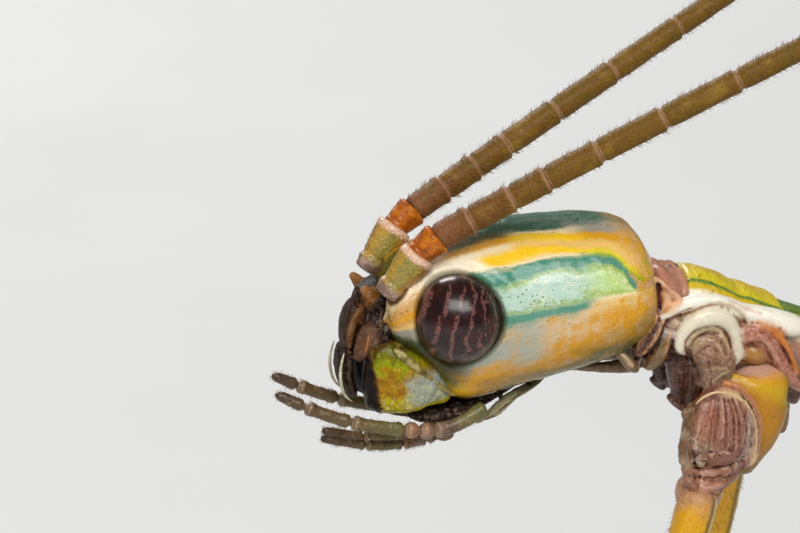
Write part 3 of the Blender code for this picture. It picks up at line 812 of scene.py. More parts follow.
def sprinkle(grid, count, seed):
    # places, outward directions and unwrap spots scattered over a tube-like grid
    rng = np.random.default_rng(seed)
    rows, cols = grid.shape[:2]
    r = rng.uniform(1, rows - 2, count)
    c = rng.uniform(0, cols, count)
    i, j = r.astype(int), c.astype(int) % cols
    f, g = (r - i)[:, None], (c - c.astype(int))[:, None]
    k = (j + 1) % cols
    a = grid[i, j] * (1 - g) + grid[i, k] * g
    b = grid[i + 1, j] * (1 - g) + grid[i + 1, k] * g
    place = a * (1 - f) + b * f
    middle = grid[i].mean(axis=1) * (1 - f) + grid[i + 1].mean(axis=1) * f
    along = unit(grid[i + 1].mean(axis=1) - grid[i].mean(axis=1))
    out = place - middle
    out = unit(out - along * (out * along).sum(1)[:, None])
    spots = np.column_stack([(r + 0.5) / rows, c / cols * 0.98 + 0.01])
    return place, out, along, spots


def hairs(name, grid, count, seed, lean, length, thick, outward=1.0):
    root, out, ahead, spots = sprinkle(grid, count, seed)
    bristles(name, root, out * outward + ahead * lean, length, thick, spots, hairMaterial)


# feelers

feeler = {
    "base": (-2.62, 1.95, 1.88),
    "bend": (-1.1, 2.12, 3.25),
    "end": (-0.1, 2.22, 3.8),
    "rise": 0.55,
    "spread": 0.17,
    "length": 64.0,
    "droop": (3.0, -3.5),
    "radii": (0.66, 0.27),
    # how far along each joint of the thread is, then even steps
    "joints": {"left": (1.75, 3.85, 5.65, 8.3, 11.6, 15.4), "right": (1.8, 3.6, 5.4, 8.3, 11.7, 15.6)},
    "joint": 3.9,
    "hairs": 4200,
    "hairLength": 0.24,
}


def feelerPaint():
    paint = Paint("feelerPaint", rough=0.48, coat=0.05, coatRough=0.25, soft=0.04, softScale=0.4 * mm,
        specular=0.2)
    t = tint
    along, joint = paint.field("along"), paint.field("joint")
    cloud = paint.noise(0.9, 4, 0.6, at=(0.6, 1, 1))
    thread = paint.ramp(along, (0.0, (0.22, 0.08, 0.03)), (0.03, (0.15, 0.055, 0.006)),
        (0.1, (0.155, 0.072, 0.003)), (0.45, (0.14, 0.066, 0.003)), (1.0, (0.1, 0.045, 0.004)))
    # paler patches where the cloud rises: painted highlights
    colour = paint.wash(thread, (0.27, 0.17, 0.015), cloud, 0.5, 0.7, 0.6)
    colour = paint.wash(colour, t["olive"], cloud, 0.46, 0.3, 0.5)
    streak = paint.noise(0.1, 4, 0.7, at=(0.25, 1, 1))
    colour = paint.wash(colour, t["brown"], streak, 0.5, 0.3, 0.55)
    pits = paint.cells(0.11)
    colour = paint.wash(colour, t["umber"], pits, 0.22, 0.1, 0.45)
    # each joint: a pale collar, a painted highlight on the swelling before it, then a dark gap
    colour = paint.layers(colour, ((0.5, 0.26, 0.15), joint, 0.45, 0.8, 0.4),
        (t["umber"], joint, 0.92, 1.0, 0.9))
    grain = paint.plus(paint.times(pits, 0.9), paint.noise(0.06, 3, 0.6))
    grain = paint.plus(grain, paint.times(streak, 0.8))
    return paint.finish(colour, grain, 0.03)


def scapePaint():
    paint = Paint("scapePaint", rough=0.36, coat=0.3, coatRough=0.18, soft=0.08, softScale=0.5 * mm,
        specular=0.35)
    t = tint
    along, around = paint.field("along"), paint.field("around")
    cloud = paint.noise(0.5, 4, 0.6)
    wander = paint.sway(around, cloud, 0.3)
    face = paint.ramp(wander, (0.0, (0.36, 0.2, 0.035)), (0.1, (0.46, 0.27, 0.03)),
        (0.17, (0.27, 0.22, 0.05)), (0.28, (0.31, 0.24, 0.035)), (0.36, (0.4, 0.2, 0.03)),
        (0.44, (0.55, 0.19, 0.03)), (0.58, (0.2, 0.08, 0.03)), (0.8, t["brown"]), (1.0, (0.36, 0.2, 0.035)))
    lower = paint.wash((0.2, 0.12, 0.085), (0.42, 0.3, 0.23), cloud, 0.42, 0.62)
    colour = paint.wash(lower, face, paint.plus(along, cloud, 0.12), 0.2, 0.36)
    rim = paint.plus(along, paint.noise(0.35, 2), 0.1)
    colour = paint.wash(colour, (0.74, 0.47, 0.34), rim, 0.86, 0.93, 0.85)
    veins = paint.cells(0.22, "DISTANCE_TO_EDGE")
    colour = paint.wash(colour, t["brown"], veins, 0.1, 0.0, 0.45)
    lumps = paint.plus(paint.noise(0.22, 4, 0.6), paint.times(veins, 0.7))
    return paint.finish(colour, lumps, 0.06)


def pedicelPaint():
    paint = Paint("pedicelPaint", rough=0.38, coat=0.2, coatRough=0.2, soft=0.08, softScale=0.5 * mm,
        specular=0.3)
    t = tint
    along = paint.field("along")
    cloud = paint.noise(0.35, 4, 0.65)
    colour = paint.ramp(cloud, (0.36, (0.24, 0.05, 0.002)), (0.5, (0.4, 0.095, 0.001)),
        (0.66, (0.52, 0.17, 0.002)))
    colour = paint.layers(colour, ((0.4, 0.24, 0.1), along, 0.12, 0.0, 0.8),
        (t["umber"], along, 0.93, 0.99, 0.9))
    return paint.finish(colour, paint.plus(paint.noise(0.14, 4, 0.6), paint.cells(0.12)), 0.022)


hairPaint = Paint("hairPaint", rough=0.45, specular=0.4)
shade = hairPaint.noise(0.5, 2)
hairPaint.set("colour", hairPaint.ramp(shade, (0.35, (0.13, 0.07, 0.02)), (0.65, (0.32, 0.2, 0.08))))
hairMaterial = hairPaint.material


def feelerPoint(place, sign):
    along, across, high = feeler[place]
    return headPoint(along, sign * across, high)


def threadPoint(sign, distance):
    start = feelerPoint("end", sign)
    heading = unit((1.0, sign * feeler["spread"], feeler["rise"]))
    sideways, down = feeler["droop"]
    bow = (np.asarray(distance) / feeler["length"])[..., None] ** 2
    return start + heading * np.asarray(distance)[..., None] + np.array((0.0, sign * sideways, down)) * bow


def makeThread(word, sign, material):
    joints = [0.0, *feeler["joints"][word]]
    while joints[-1] + 1.4 * feeler["joint"] < feeler["length"]:
        joints.append(joints[-1] + feeler["joint"])
    joints.append(feeler["length"])
    distance, bulge, mark = [], [], []
    for start, stop in zip(joints, joints[1:]):
        steps = max(14, int(5 * (stop - start)))
        for k in range(steps):
            part = k / steps
            distance.append(start + (stop - start) * part)
            toEnd = (1 - part) * (stop - start)
            fromStart = part * (stop - start)
            bulge.append(0.085 * math.exp(-(toEnd - 0.16) ** 2 / 0.05)
                - 0.13 * math.exp(-(fromStart / 0.07) ** 2) - 0.035 * math.exp(-(fromStart / 0.5) ** 2))
            # the joint mark: the painted highlight on the swelling before a joint, the dark gap after it
            mark.append(max(0.85 * math.exp(-(toEnd - 0.1) ** 2 / 0.018),
                math.exp(-(fromStart / 0.055) ** 2)))
    distance, bulge = np.array(distance + [feeler["length"]]), np.array(bulge + [-0.5])
    mark = np.array(mark + [0.0])
    part = distance / feeler["length"]
    radius = (feeler["radii"][0] - (feeler["radii"][0] - feeler["radii"][1]) * part ** 0.8) * (1 + bulge)
    middle = threadPoint(sign, distance)
    along = unit(np.gradient(middle, axis=0))
    side = unit(np.cross(along, (0, 0, 1)))
    top = np.cross(side, along)
    cols = 28
    turn = 2 * np.pi * np.arange(cols) / cols
    grid = middle[:, None] + radius[:, None, None] * (
        side[:, None] * np.sin(turn)[None, :, None] + top[:, None] * np.cos(turn)[None, :, None])
    grid = grid + unit(grid - middle[:, None]) * (0.02 * rough(grid, 0.7, 5.0))[..., None]
    fields = {"along": np.repeat(part[:, None], cols, 1), "joint": np.repeat(mark[:, None], cols, 1)}
    gridPiece("feelerThread_" + word, grid, ["antenna_flagellum_" + word], material, fields)
    root, out, ahead, spots = sprinkle(grid, feeler["hairs"], 11 if sign < 0 else 12)
    bristles("feelerHairs_" + word, root, out * 0.8 + ahead * 0.6, feeler["hairLength"], 0.011,
        spots, hairMaterial)


def makeFeeler(word, sign):
    base, bend, end = (feelerPoint(place, sign) for place in ("base", "bend", "end"))
    rise = unit(bend - base)
    stations = [(*(base - rise * 0.45), 0.5, 0.52), (*(base + rise * 0.05), 0.63, 0.62),
        (*(base + rise * 0.45), 0.66, 0.63), (*(base + (bend - base) * 0.6), 0.78, 0.74),
        (*(base + (bend - base) * 0.9), 0.84, 0.79), (*(bend + rise * 0.1), 0.76, 0.74)]

    def scapeShape(part, turn):
        rim = 0.1 * bell(part, 0.9, 0.055) * (0.6 + 0.4 * np.cos(turn - 1.2 * np.pi))
        knuckle = 0.03 * bell(part, 0.2, 0.06) - 0.05 * bell(part, 0.31, 0.05)
        return rim + knuckle + 0.05 * bell(np.cos(turn - 0.9 * np.pi), 1.0, 0.25) * bell(part, 0.6, 0.3)

    grid, fields = tube(stations, 90, 72, rounded=(0.05, 0.05), shape=scapeShape)
    grid = swell(grid, 0.03, 0.5, 2.0)
    gridPiece("scape_" + word, grid, ["antenna_scape_" + word], scapeMaterial, fields)
    hairs("scapeHairs_" + word, grid, 160, 21, 0.5, 0.13, 0.008)

    turnWay = unit(end - bend)
    stations = [(*(bend - turnWay * 0.3), 0.58, 0.58), (*(bend + turnWay * 0.15), 0.64, 0.64),
        (*(bend + (end - bend) * 0.55), 0.7, 0.7), (*(end - turnWay * 0.06), 0.72, 0.72),
        (*(end + turnWay * 0.1), 0.6, 0.6)]
    grid, fields = tube(stations, 60, 60, rounded=(0.03, 0.06),
        shape=lambda part, turn: 0.04 * bell(part, 0.88, 0.05) - 0.03 * bell(part, 0.3, 0.05))
    gridPiece("pedicel_" + word, grid, ["antenna_pedicel_" + word], pedicelMaterial, fields)
    hairs("pedicelHairs_" + word, grid, 130, 22, 0.6, 0.15, 0.008)
    makeThread(word, sign, threadMaterial)


scapeMaterial, pedicelMaterial, threadMaterial = scapePaint(), pedicelPaint(), feelerPaint()
for word, sign in sides:
    makeFeeler(word, sign)
print("feelers")


# jaws and lips

mouth = {
    # point in the head's own frame, half width, half height
    "jaw": ((-0.7, 1.8, -4.02, 0.4, 0.35), (-1.5, 1.62, -3.38, 1.1, 1.02), (-2.6, 1.5, -2.74, 1.3, 1.68),
        (-3.6, 1.28, -2.32, 1.2, 1.82), (-4.42, 0.98, -2.1, 0.95, 1.5)),
}


def headStations(rows, sign=1.0):
    return [(*headPoint(a, sign * b, c), *sizes) for a, b, c, *sizes in rows]


def jawPaint():
    paint = Paint("jawPaint", rough=0.36, coat=0.18, coatRough=0.09, soft=0.06, softScale=0.5 * mm,
        specular=0.1)
    high, ahead = paint.field("high"), paint.field("ahead")
    cloud = paint.noise(0.85, 3, 0.5, 0.6)
    tall = paint.sway(high, cloud, 0.75)
    colour = paint.ramp(tall, (0.0, (0.26, 0.17, 0.001)), (0.12, (0.42, 0.32, 0.002)),
        (0.32, (0.44, 0.34, 0.004)), (0.44, (0.36, 0.19, 0.001)), (0.56, (0.28, 0.12, 0.001)),
        (0.68, (0.32, 0.22, 0.002)), (0.8, (0.24, 0.27, 0.004)), (0.92, (0.12, 0.11, 0.003)),
        (1.0, (0.07, 0.035, 0.003)))
    back = paint.between(paint.plus(ahead, cloud, 0.7), 1.12, 0.72)
    low = paint.band(high, 0.16, 0.26, 0.5, 0.66)
    colour = paint.mix(colour, (0.3, 0.36, 0.31), paint.times(back, low, 0.85))
    patches = paint.noise(0.3, 3, 0.6)
    colour = paint.layers(colour, ((0.6, 0.54, 0.06), patches, 0.56, 0.7, 0.45),
        ((0.16, 0.11, 0.004), patches, 0.43, 0.3, 0.55))
    # dark horn along the front and the lower edge
    edge = paint.field("edge")
    rag = paint.sway(edge, patches, 0.42)
    # painted highlights: pale glints on the wet wrinkles low in front
    glint = paint.noise(0.13, 3, 0.6, 0.8, at=(1.0, 1.0, 0.45))
    where = paint.times(paint.between(high, 0.42, 0.25), paint.between(ahead, 0.45, 0.62))
    colour = paint.mix(colour, (0.85, 0.82, 0.62), paint.times(where,
        paint.between(glint, 0.55, 0.66, 0.0, 0.75)))
    colour = paint.layers(colour, ((0.085, 0.03, 0.006), rag, 0.46, 0.6),
        ((0.008, 0.003, 0.001), rag, 0.56, 0.72))
    wrinkles = paint.noise(0.2, 4, 0.7, 1.2, at=(1.0, 1.0, 0.6))
    creases = paint.cells(0.42, "DISTANCE_TO_EDGE", at=(1.3, 1, 0.7))
    height = paint.plus(wrinkles, paint.between(creases, 0.0, 0.3), 0.5)
    return paint.finish(colour, height, 0.11)


def makeJaw(word, sign, material):
    def jawShape(part, turn):
        # a ridge near the top, a dished face, thick lower edge
        face = np.cos(turn - (0.5 if sign < 0 else 1.5) * np.pi)
        return -0.1 * bell(part, 0.45, 0.2) * smooth(0.3, 0.9, face) + 0.06 * bell(part, 0.3, 0.06)

    grid, fields = tube(headStations(mouth["jaw"], sign), 120, 110, power=2.3, rounded=(0.06, 0.1),
        shape=jawShape)
    local = grid @ headTurn
    low, top = -4.65, -0.6
    fields["high"] = (local[..., 2] - low) / (top - low)
    fields["ahead"] = smooth(-0.6, -4.6, local[..., 0])
    fields["edge"] = np.maximum(smooth(-3.35, -4.75, local[..., 0]),
        smooth(-4.05, -4.4, local[..., 2]) * smooth(-1.2, -2.4, local[..., 0]))
    grid = swell(grid, 0.05, 0.8, 1.0)
    gridPiece("jaw_" + word, grid, ["mandible_" + word], material, fields)


def hornPaint(name, dark, mid, light, gloss=0.28, depth=0.05):
    # brown horn or skin in three shades, with fine wrinkles
    paint = Paint(name, rough=gloss, coat=0.3, coatRough=0.15, soft=0.05, softScale=0.4 * mm, specular=0.3)
    cloud = paint.noise(0.45, 5, 0.65, 0.6)
    colour = paint.ramp(cloud, (0.34, dark), (0.5, mid), (0.68, light))
    fine = paint.noise(0.1, 4, 0.7)
    colour = paint.wash(colour, dark, fine, 0.48, 0.32, 0.6)
    return paint.finish(colour, paint.plus(paint.noise(0.18, 4, 0.65), fine), depth)


jawMaterial = jawPaint()
for word, sign in sides:
    makeJaw(word, sign, jawMaterial)

hornMaterial = hornPaint("hornPaint", (0.012, 0.006, 0.003), (0.048, 0.022, 0.009),
    (0.18, 0.075, 0.025), 0.36)
ridgeMaterial = hornPaint("ridgePaint", (0.09, 0.055, 0.008), (0.24, 0.18, 0.04), (0.48, 0.4, 0.16))
paleMaterial = hornPaint("palePaint", (0.3, 0.27, 0.15), (0.52, 0.47, 0.3), (0.72, 0.66, 0.48))


def wire(points, radii, sign=1.0, rows=60, cols=14, flat=1.0):
    # a thin smooth strand through points given in the head's own frame
    path = [headPoint(a, sign * b, c) for a, b, c in points]
    radii = np.broadcast_to(radii, len(path))
    return tube([(*p, r, r * flat) for p, r in zip(path, radii)], rows, cols, up=(0, 1, 0),
        rounded=(0.08, 0.12))


for word, sign in sides:
    # the ridge between the jaw and the cheek, thick in front
    grid, fields = wire(((-3.05, 2.36, -0.86), (-2.62, 2.56, -1.4), (-2.12, 2.68, -2.08),
        (-1.52, 2.66, -2.84), (-0.98, 2.5, -3.5), (-0.6, 2.35, -3.9)), (0.14, 0.2, 0.17, 0.13, 0.1, 0.05),
        sign, rows=80, cols=20, flat=0.8)
    gridPiece("cheekRidge_" + word, grid, None, ridgeMaterial, fields)
    # the pale rim of the upper lip
    grid, fields = wire(((-5.1, 0.95, -1.0), (-5.38, 1.02, -1.62), (-5.52, 1.05, -2.35), (-5.44, 1.0, -3.0),
        (-5.12, 0.85, -3.5)), (0.035, 0.065, 0.075, 0.065, 0.03), sign)
    gridPiece("lipRim_" + word, grid, None, paleMaterial, fields)
    grid, fields = wire(((-4.92, 1.28, -1.5), (-5.12, 1.34, -2.0), (-5.22, 1.34, -2.75)),
        (0.02, 0.03, 0.02), sign)
    gridPiece("lipLine_" + word, grid, None, hornMaterial, fields)
print("jaws and lips")


# palps

palps = {
    # reach and drop of each side: the far ones are held back and lower
    "pose": {"left": (1.0, 0.0), "right": (0.94, 0.35)},
    "upper": ((0.8, 1.75, -5.0, 0.36), (-0.5, 1.95, -5.36, 0.35), (-1.7, 2.05, -5.42, 0.33),
        (-3.2, 2.05, -4.98, 0.31), (-6.05, 2.0, -3.7, 0.29), (-7.7, 1.8, -2.6, 0.27),
        (-8.7, 1.6, -1.85, 0.22)),
    "upperJoints": (0.26, 0.325, 0.395, 0.64, 0.86),
    "lower": ((-0.8, 0.8, -6.05, 0.26), (-2.6, 0.9, -6.15, 0.25), (-4.4, 0.95, -5.85, 0.23),
        (-6.9, 0.85, -4.85, 0.19)),
    "lowerJoints": (0.2, 0.38, 0.66),
    "hairs": 700,
}


def palpPaint():
    paint = Paint("palpPaint", rough=0.35, coat=0.3, coatRough=0.16, soft=0.05, softScale=0.4 * mm,
        specular=0.3)
    t = tint
    along, joint = paint.field("along"), paint.field("joint")
    cloud = paint.noise(0.55, 4, 0.65)
    place = paint.sway(along, cloud, 0.1)
    colour = paint.ramp(place, (0.0, (0.1, 0.1, 0.03)), (0.1, (0.15, 0.13, 0.03)),
        (0.18, (0.1, 0.06, 0.04)), (0.26, (0.23, 0.13, 0.085)), (0.37, (0.26, 0.115, 0.05)),
        (0.42, (0.11, 0.1, 0.025)), (0.6, (0.13, 0.085, 0.025)), (0.8, (0.1, 0.055, 0.02)),
        (1.0, (0.055, 0.03, 0.014)))
    colour = paint.layers(colour, ((0.36, 0.28, 0.13), cloud, 0.55, 0.72, 0.5),
        (t["umber"], cloud, 0.44, 0.3, 0.6), ((0.36, 0.24, 0.15), joint, 0.25, 0.6, 0.45),
        (t["umber"], joint, 0.8, 1.0, 0.9))
    return paint.finish(colour, paint.plus(paint.noise(0.1, 4, 0.65), paint.cells(0.13)), 0.035)


def makePalp(kind, word, sign, material):
    reach, drop = palps["pose"][word]
    rows = [(a * reach, sign * b, c - drop, r, r) for a, b, c, r in palps[kind]]
    stations = [(*headPoint(a, b, c), r, q) for a, b, c, r, q in rows]
    joints = palps[kind + "Joints"]

    def shape(part, turn):
        height = np.zeros(np.broadcast(part, turn).shape)
        for joint in joints:
            height = (height - 0.13 * bell(part, joint, 0.01) + 0.055 * bell(part, joint - 0.028, 0.018)
                + 0.03 * bell(part, joint + 0.028, 0.018))
        return height

    grid, fields = tube(stations, 220, 36, rounded=(0.02, 0.035), shape=shape)
    mark = np.zeros(grid.shape[:2])
    for joint in joints:
        mark = np.maximum(mark, bell(fields["along"], joint, 0.011))
        mark = np.maximum(mark, 0.6 * bell(fields["along"], joint - 0.022, 0.012))
    fields["joint"] = mark
    grid = swell(grid, 0.02, 0.5, 4.0)
    node = "maxillary_palp_" if kind == "upper" else "labial_palp_"
    gridPiece(kind + "Palp_" + word, grid, [node + word], material, fields)
    hairs(kind + "PalpHairs_" + word, grid, palps["hairs"], 31, 0.7, 0.17, 0.009)


palpMaterial = palpPaint()
for word, sign in sides:
    for kind in ("upper", "lower"):
        makePalp(kind, word, sign, palpMaterial)
print("palps")


# trunk

trunk = {
    "start": (11.75, 0.0, -1.75),
    # length of each stretch and its fall towards the tail, in degrees
    "stretches": ((8.0, 20.5), (33.5, 19.5), (26.0, 15.0), (21.5, 11.0), (21.5, 9.0), (21.5, 7.0),
        (21.5, 5.0)),
    # distance, half width, height above and depth below the middle line
    "girth": ((0, 2.3, 2.3, 2.2), (3, 2.6, 2.05, 2.35), (8, 2.4, 2.0, 2.2), (14, 2.4, 2.2, 2.3),
        (30, 3.4, 3.1, 3.2), (41.5, 4.3, 3.6, 3.9), (54, 4.7, 3.9, 4.3), (67.5, 4.6, 4.0, 4.5),
        (90, 5.2, 4.3, 4.9), (115, 5.0, 4.2, 4.6), (135, 3.9, 3.4, 3.6), (148, 3.0, 2.7, 2.7),
        (153.5, 2.1, 1.9, 1.9)),
    "squareness": 2.15,
}


def trunkLine():
    point = np.array(trunk["start"])
    corners, reach = [point], [0.0]
    for length, slope in trunk["stretches"]:
        fall = math.radians(slope)
        point = point + np.array((math.cos(fall), 0.0, -math.sin(fall))) * length
        corners.append(point)
        reach.append(reach[-1] + length)
    return np.array(corners), np.array(reach)


trunkCorners, trunkReach = trunkLine()


def trunkAt(distance):
    # middle and upward direction of the trunk at each distance from its front end
    distance = np.atleast_1d(np.asarray(distance, float))
    point = np.stack([np.interp(distance, trunkReach, trunkCorners[:, k]) for k in range(3)], -1)
    lead = trunkCorners[1] - trunkCorners[0]
    before = distance[:, None] < 0
    point = np.where(before, trunkCorners[0] + unit(lead) * distance[:, None], point)
    last = trunkCorners[-1] - trunkCorners[-2]
    past = np.maximum(distance - trunkReach[-1], 0.0)[:, None]
    point = point + unit(last) * past
    slopes = np.radians([slope for _, slope in trunk["stretches"]])
    middles = (trunkReach[1:] + trunkReach[:-1]) / 2
    fall = np.interp(distance, middles, slopes)
    up = np.stack([np.sin(fall), np.zeros_like(fall), np.cos(fall)], -1)
    return point, up


def trunkGrid(start, stop, rows, cols, drawn=0.93, shape=None, lift=0.0):
    # the skin of one stretch, its two ends drawn in like overlapping plates and its
    # last rows turned in to close it
    part = np.linspace(0, 1, rows)
    distance = start + (stop - start) * part
    middle, up = trunkAt(distance)
    wide, above, below = (np.interp(distance, *np.array(trunk["girth"], float).T[[0, k]])
        for k in (1, 2, 3))
    turn = 2 * np.pi * (np.arange(cols) + 0.5) / cols
    x, z = squared(np.sin(turn), trunk["squareness"]), squared(np.cos(turn), trunk["squareness"])
    toEnd = np.minimum(distance - start, stop - distance)
    scale = drawn + (1 - drawn) * smooth(0.0, 0.7, toEnd)
    scale = scale * np.where(part < 0.5 / rows, 0.9, 1) * np.where(part > 1 - 0.5 / rows, 0.9, 1)
    tall = np.where(z[None] > 0, above[:, None], below[:, None])
    grid = (middle[:, None] + np.array((0, 1, 0)) * (wide * scale)[:, None, None] * x[None, :, None]
        + up[:, None] * (tall * scale[:, None] * z[None])[..., None])
    share = np.minimum(turn, 2 * np.pi - turn) / np.pi
    distance2, share2 = np.broadcast_arrays(distance[:, None], share[None])
    out = unit(grid - middle[:, None])
    height = lift + 0.05 * rough(grid, 2.5, 1.0) + 0.02 * rough(grid, 0.7, 2.0)
    if shape is not None:
        height = height + shape(distance2, share2)
    grid = grid + out * np.broadcast_to(height, grid.shape[:2])[..., None]
    return grid, {"along": distance2, "share": share2, "part": np.broadcast_to(part[:, None],
        grid.shape[:2])}


def trunkPaint(name, crown, line, flank, under, ends, gloss=0.38):
    # bands down each side: crown, a line beside it, pale flank, underside.
    # ends: where each band stops, as a share of the way round from the top
    paint = Paint(name, rough=gloss, coat=0.35, coatRough=0.2, soft=0.1, softScale=0.6 * mm, specular=0.45)
    share = paint.field("share")
    wander = paint.centred(paint.noise(2.2, 4, 0.55, at=(0.35, 1, 1)))
    ragged = paint.centred(paint.noise(0.3, 3, 0.6, at=(0.4, 1, 1)))
    place = paint.plus(share, wander, 0.06)
    place = paint.plus(place, ragged, 0.04)
    a, b, c, d = ends
    colour = paint.ramp(place, (0.0, crown[0]), (a * 0.55, crown[1]), (a - 0.01, crown[1]),
        (a + 0.01, line), (b - 0.01, line), (b + 0.015, crown[2]), (c - 0.015, crown[2]),
        (c + 0.015, flank[0]), ((c + d) / 2, flank[1]), (d - 0.02, flank[0]), (d + 0.03, under[0]),
        (0.72, under[1]), (1.0, under[0]))
    streak = paint.noise(0.16, 5, 0.7, 0.3, at=(0.16, 1, 1))
    colour = paint.layers(colour, (tint["cream"], streak, 0.56, 0.8, 0.35),
        (tint["olive"], streak, 0.42, 0.22, 0.35))
    colour = paint.specks(colour, 0.55, 0.16, 0.08, 1.6, 0.5, 0.62, 0.7)
    grain = paint.plus(paint.noise(0.16, 4, 0.6), paint.times(paint.cells(0.3), 0.8))
    return paint.finish(colour, paint.plus(grain, paint.noise(0.8, 3), 1.5), 0.07)


# neck and its folds

def meltPaint(name, depth=0.07, grain=0.24, stretch=(1, 1, 1), gloss=0.3, coat=0.28, shine=0.3):
    # damp folded skin, coloured part by part and mottled by its folds, with painted highlights on the ridges
    # and painted shade in the creases
    paint = Paint(name, rough=gloss, coat=coat, coatRough=0.14, soft=0.08, softScale=0.4 * mm,
        softRadius=(1.0, 0.45, 0.3), specular=shine)
    tone = paint.add("Attribute", attribute_name="tone").outputs["Color"]
    hollow, keep = paint.field("hollow"), paint.field("clean")
    folds = paint.noise(grain, 4, 0.62, 1.3, at=stretch)
    cloud = paint.noise(0.9, 3)
    fine = paint.noise(0.075, 4, 0.7)
    dark = paint.mix(tone, (0.48, 0.27, 0.17), 1.0, "MULTIPLY")
    creaseShade = paint.mix(dark, (0.36, 0.22, 0.15), 1.0, "MULTIPLY")
    pale = paint.mix(tone, (0.62, 0.46, 0.35), 0.4)
    loose = paint.calc("SUBTRACT", 1.0, keep)
    colour = paint.mix(tone, dark, paint.times(paint.between(folds, 0.5, 0.38, 0.0, 0.7), loose))
    colour = paint.mix(colour, pale, paint.times(paint.between(folds, 0.53, 0.68, 0.0, 0.65), loose))
    colour = paint.mix(colour, dark, paint.times(paint.between(cloud, 0.48, 0.34, 0.0, 0.5), loose))
    colour = paint.wash(colour, dark, fine, 0.46, 0.3, 0.3)
    # painted highlight on the crests, painted shade deepening into the creases
    colour = paint.mix(colour, pale, paint.times(paint.between(hollow, -0.3, -1.0, 0.0, 0.45), loose))
    colour = paint.layers(colour, (dark, hollow, 0.15, 0.6, 0.8), (creaseShade, hollow, 0.6, 1.3, 0.9))
    return paint.finish(colour, paint.plus(paint.times(folds, paint.between(keep, 1.0, 0.0, 0.25, 1.0)),
        fine, 0.25), depth)


def drawStrokes(points, out, colour, clean, strokes, sign):
    # raised or sunk lines drawn on the outer side: each stroke is its path seen from
    # the side, its half width, its lift, its tone, how strong and how even that is
    facing = smooth(0.1, 0.5, out[:, 1] * sign) * smooth(0.6, 1.2, points[:, 1] * sign)
    lift = np.zeros(len(points))
    wobble = 0.045 * rough(points, 0.45, 6.0)
    broken = 0.35 + 0.65 * smooth(-0.35, 0.25, rough(points, 0.28, 9.0))
    for path, width, height, tone, strength, even in strokes:
        path = np.asarray(path, float)
        if len(path) > 2:
            turns = np.linspace(0, len(path) - 1, 4 * len(path))
            path = spline(turns, np.column_stack([np.arange(len(path)), path]))
        near = np.full(len(points), 9.0)
        where = np.zeros(len(points))
        for k, (a, b) in enumerate(zip(path, path[1:])):
            way = b - a
            reach = ((points[:, (0, 2)] - a) @ way) / (way @ way)
            reach = np.clip(reach, 0, 1)
            gap = np.linalg.norm(points[:, (0, 2)] - a - reach[:, None] * way, axis=1)
            closer = gap < near
            near = np.where(closer, gap, near)
            where = np.where(closer, (k + reach) / (len(path) - 1), where)
        taper = 0.35 + 0.65 * np.sqrt(np.clip(4 * where * (1 - where) * 1.6, 0, 1))
        near = np.abs(near + wobble * min(1.0, width / 0.06))
        weight = np.exp(-(near / (width * taper)) ** 2) * facing * (broken if even < 0.4 else 1.0)
        lift += height * weight
        if tone:
            amount = np.clip(weight * 1.3, 0, 1)[:, None] * strength
            colour[:, :3] = colour[:, :3] * (1 - amount) + np.array(skinTone[tone]) * amount
            clean[:] = clean * (1 - amount[:, 0]) + even * amount[:, 0]
    return lift


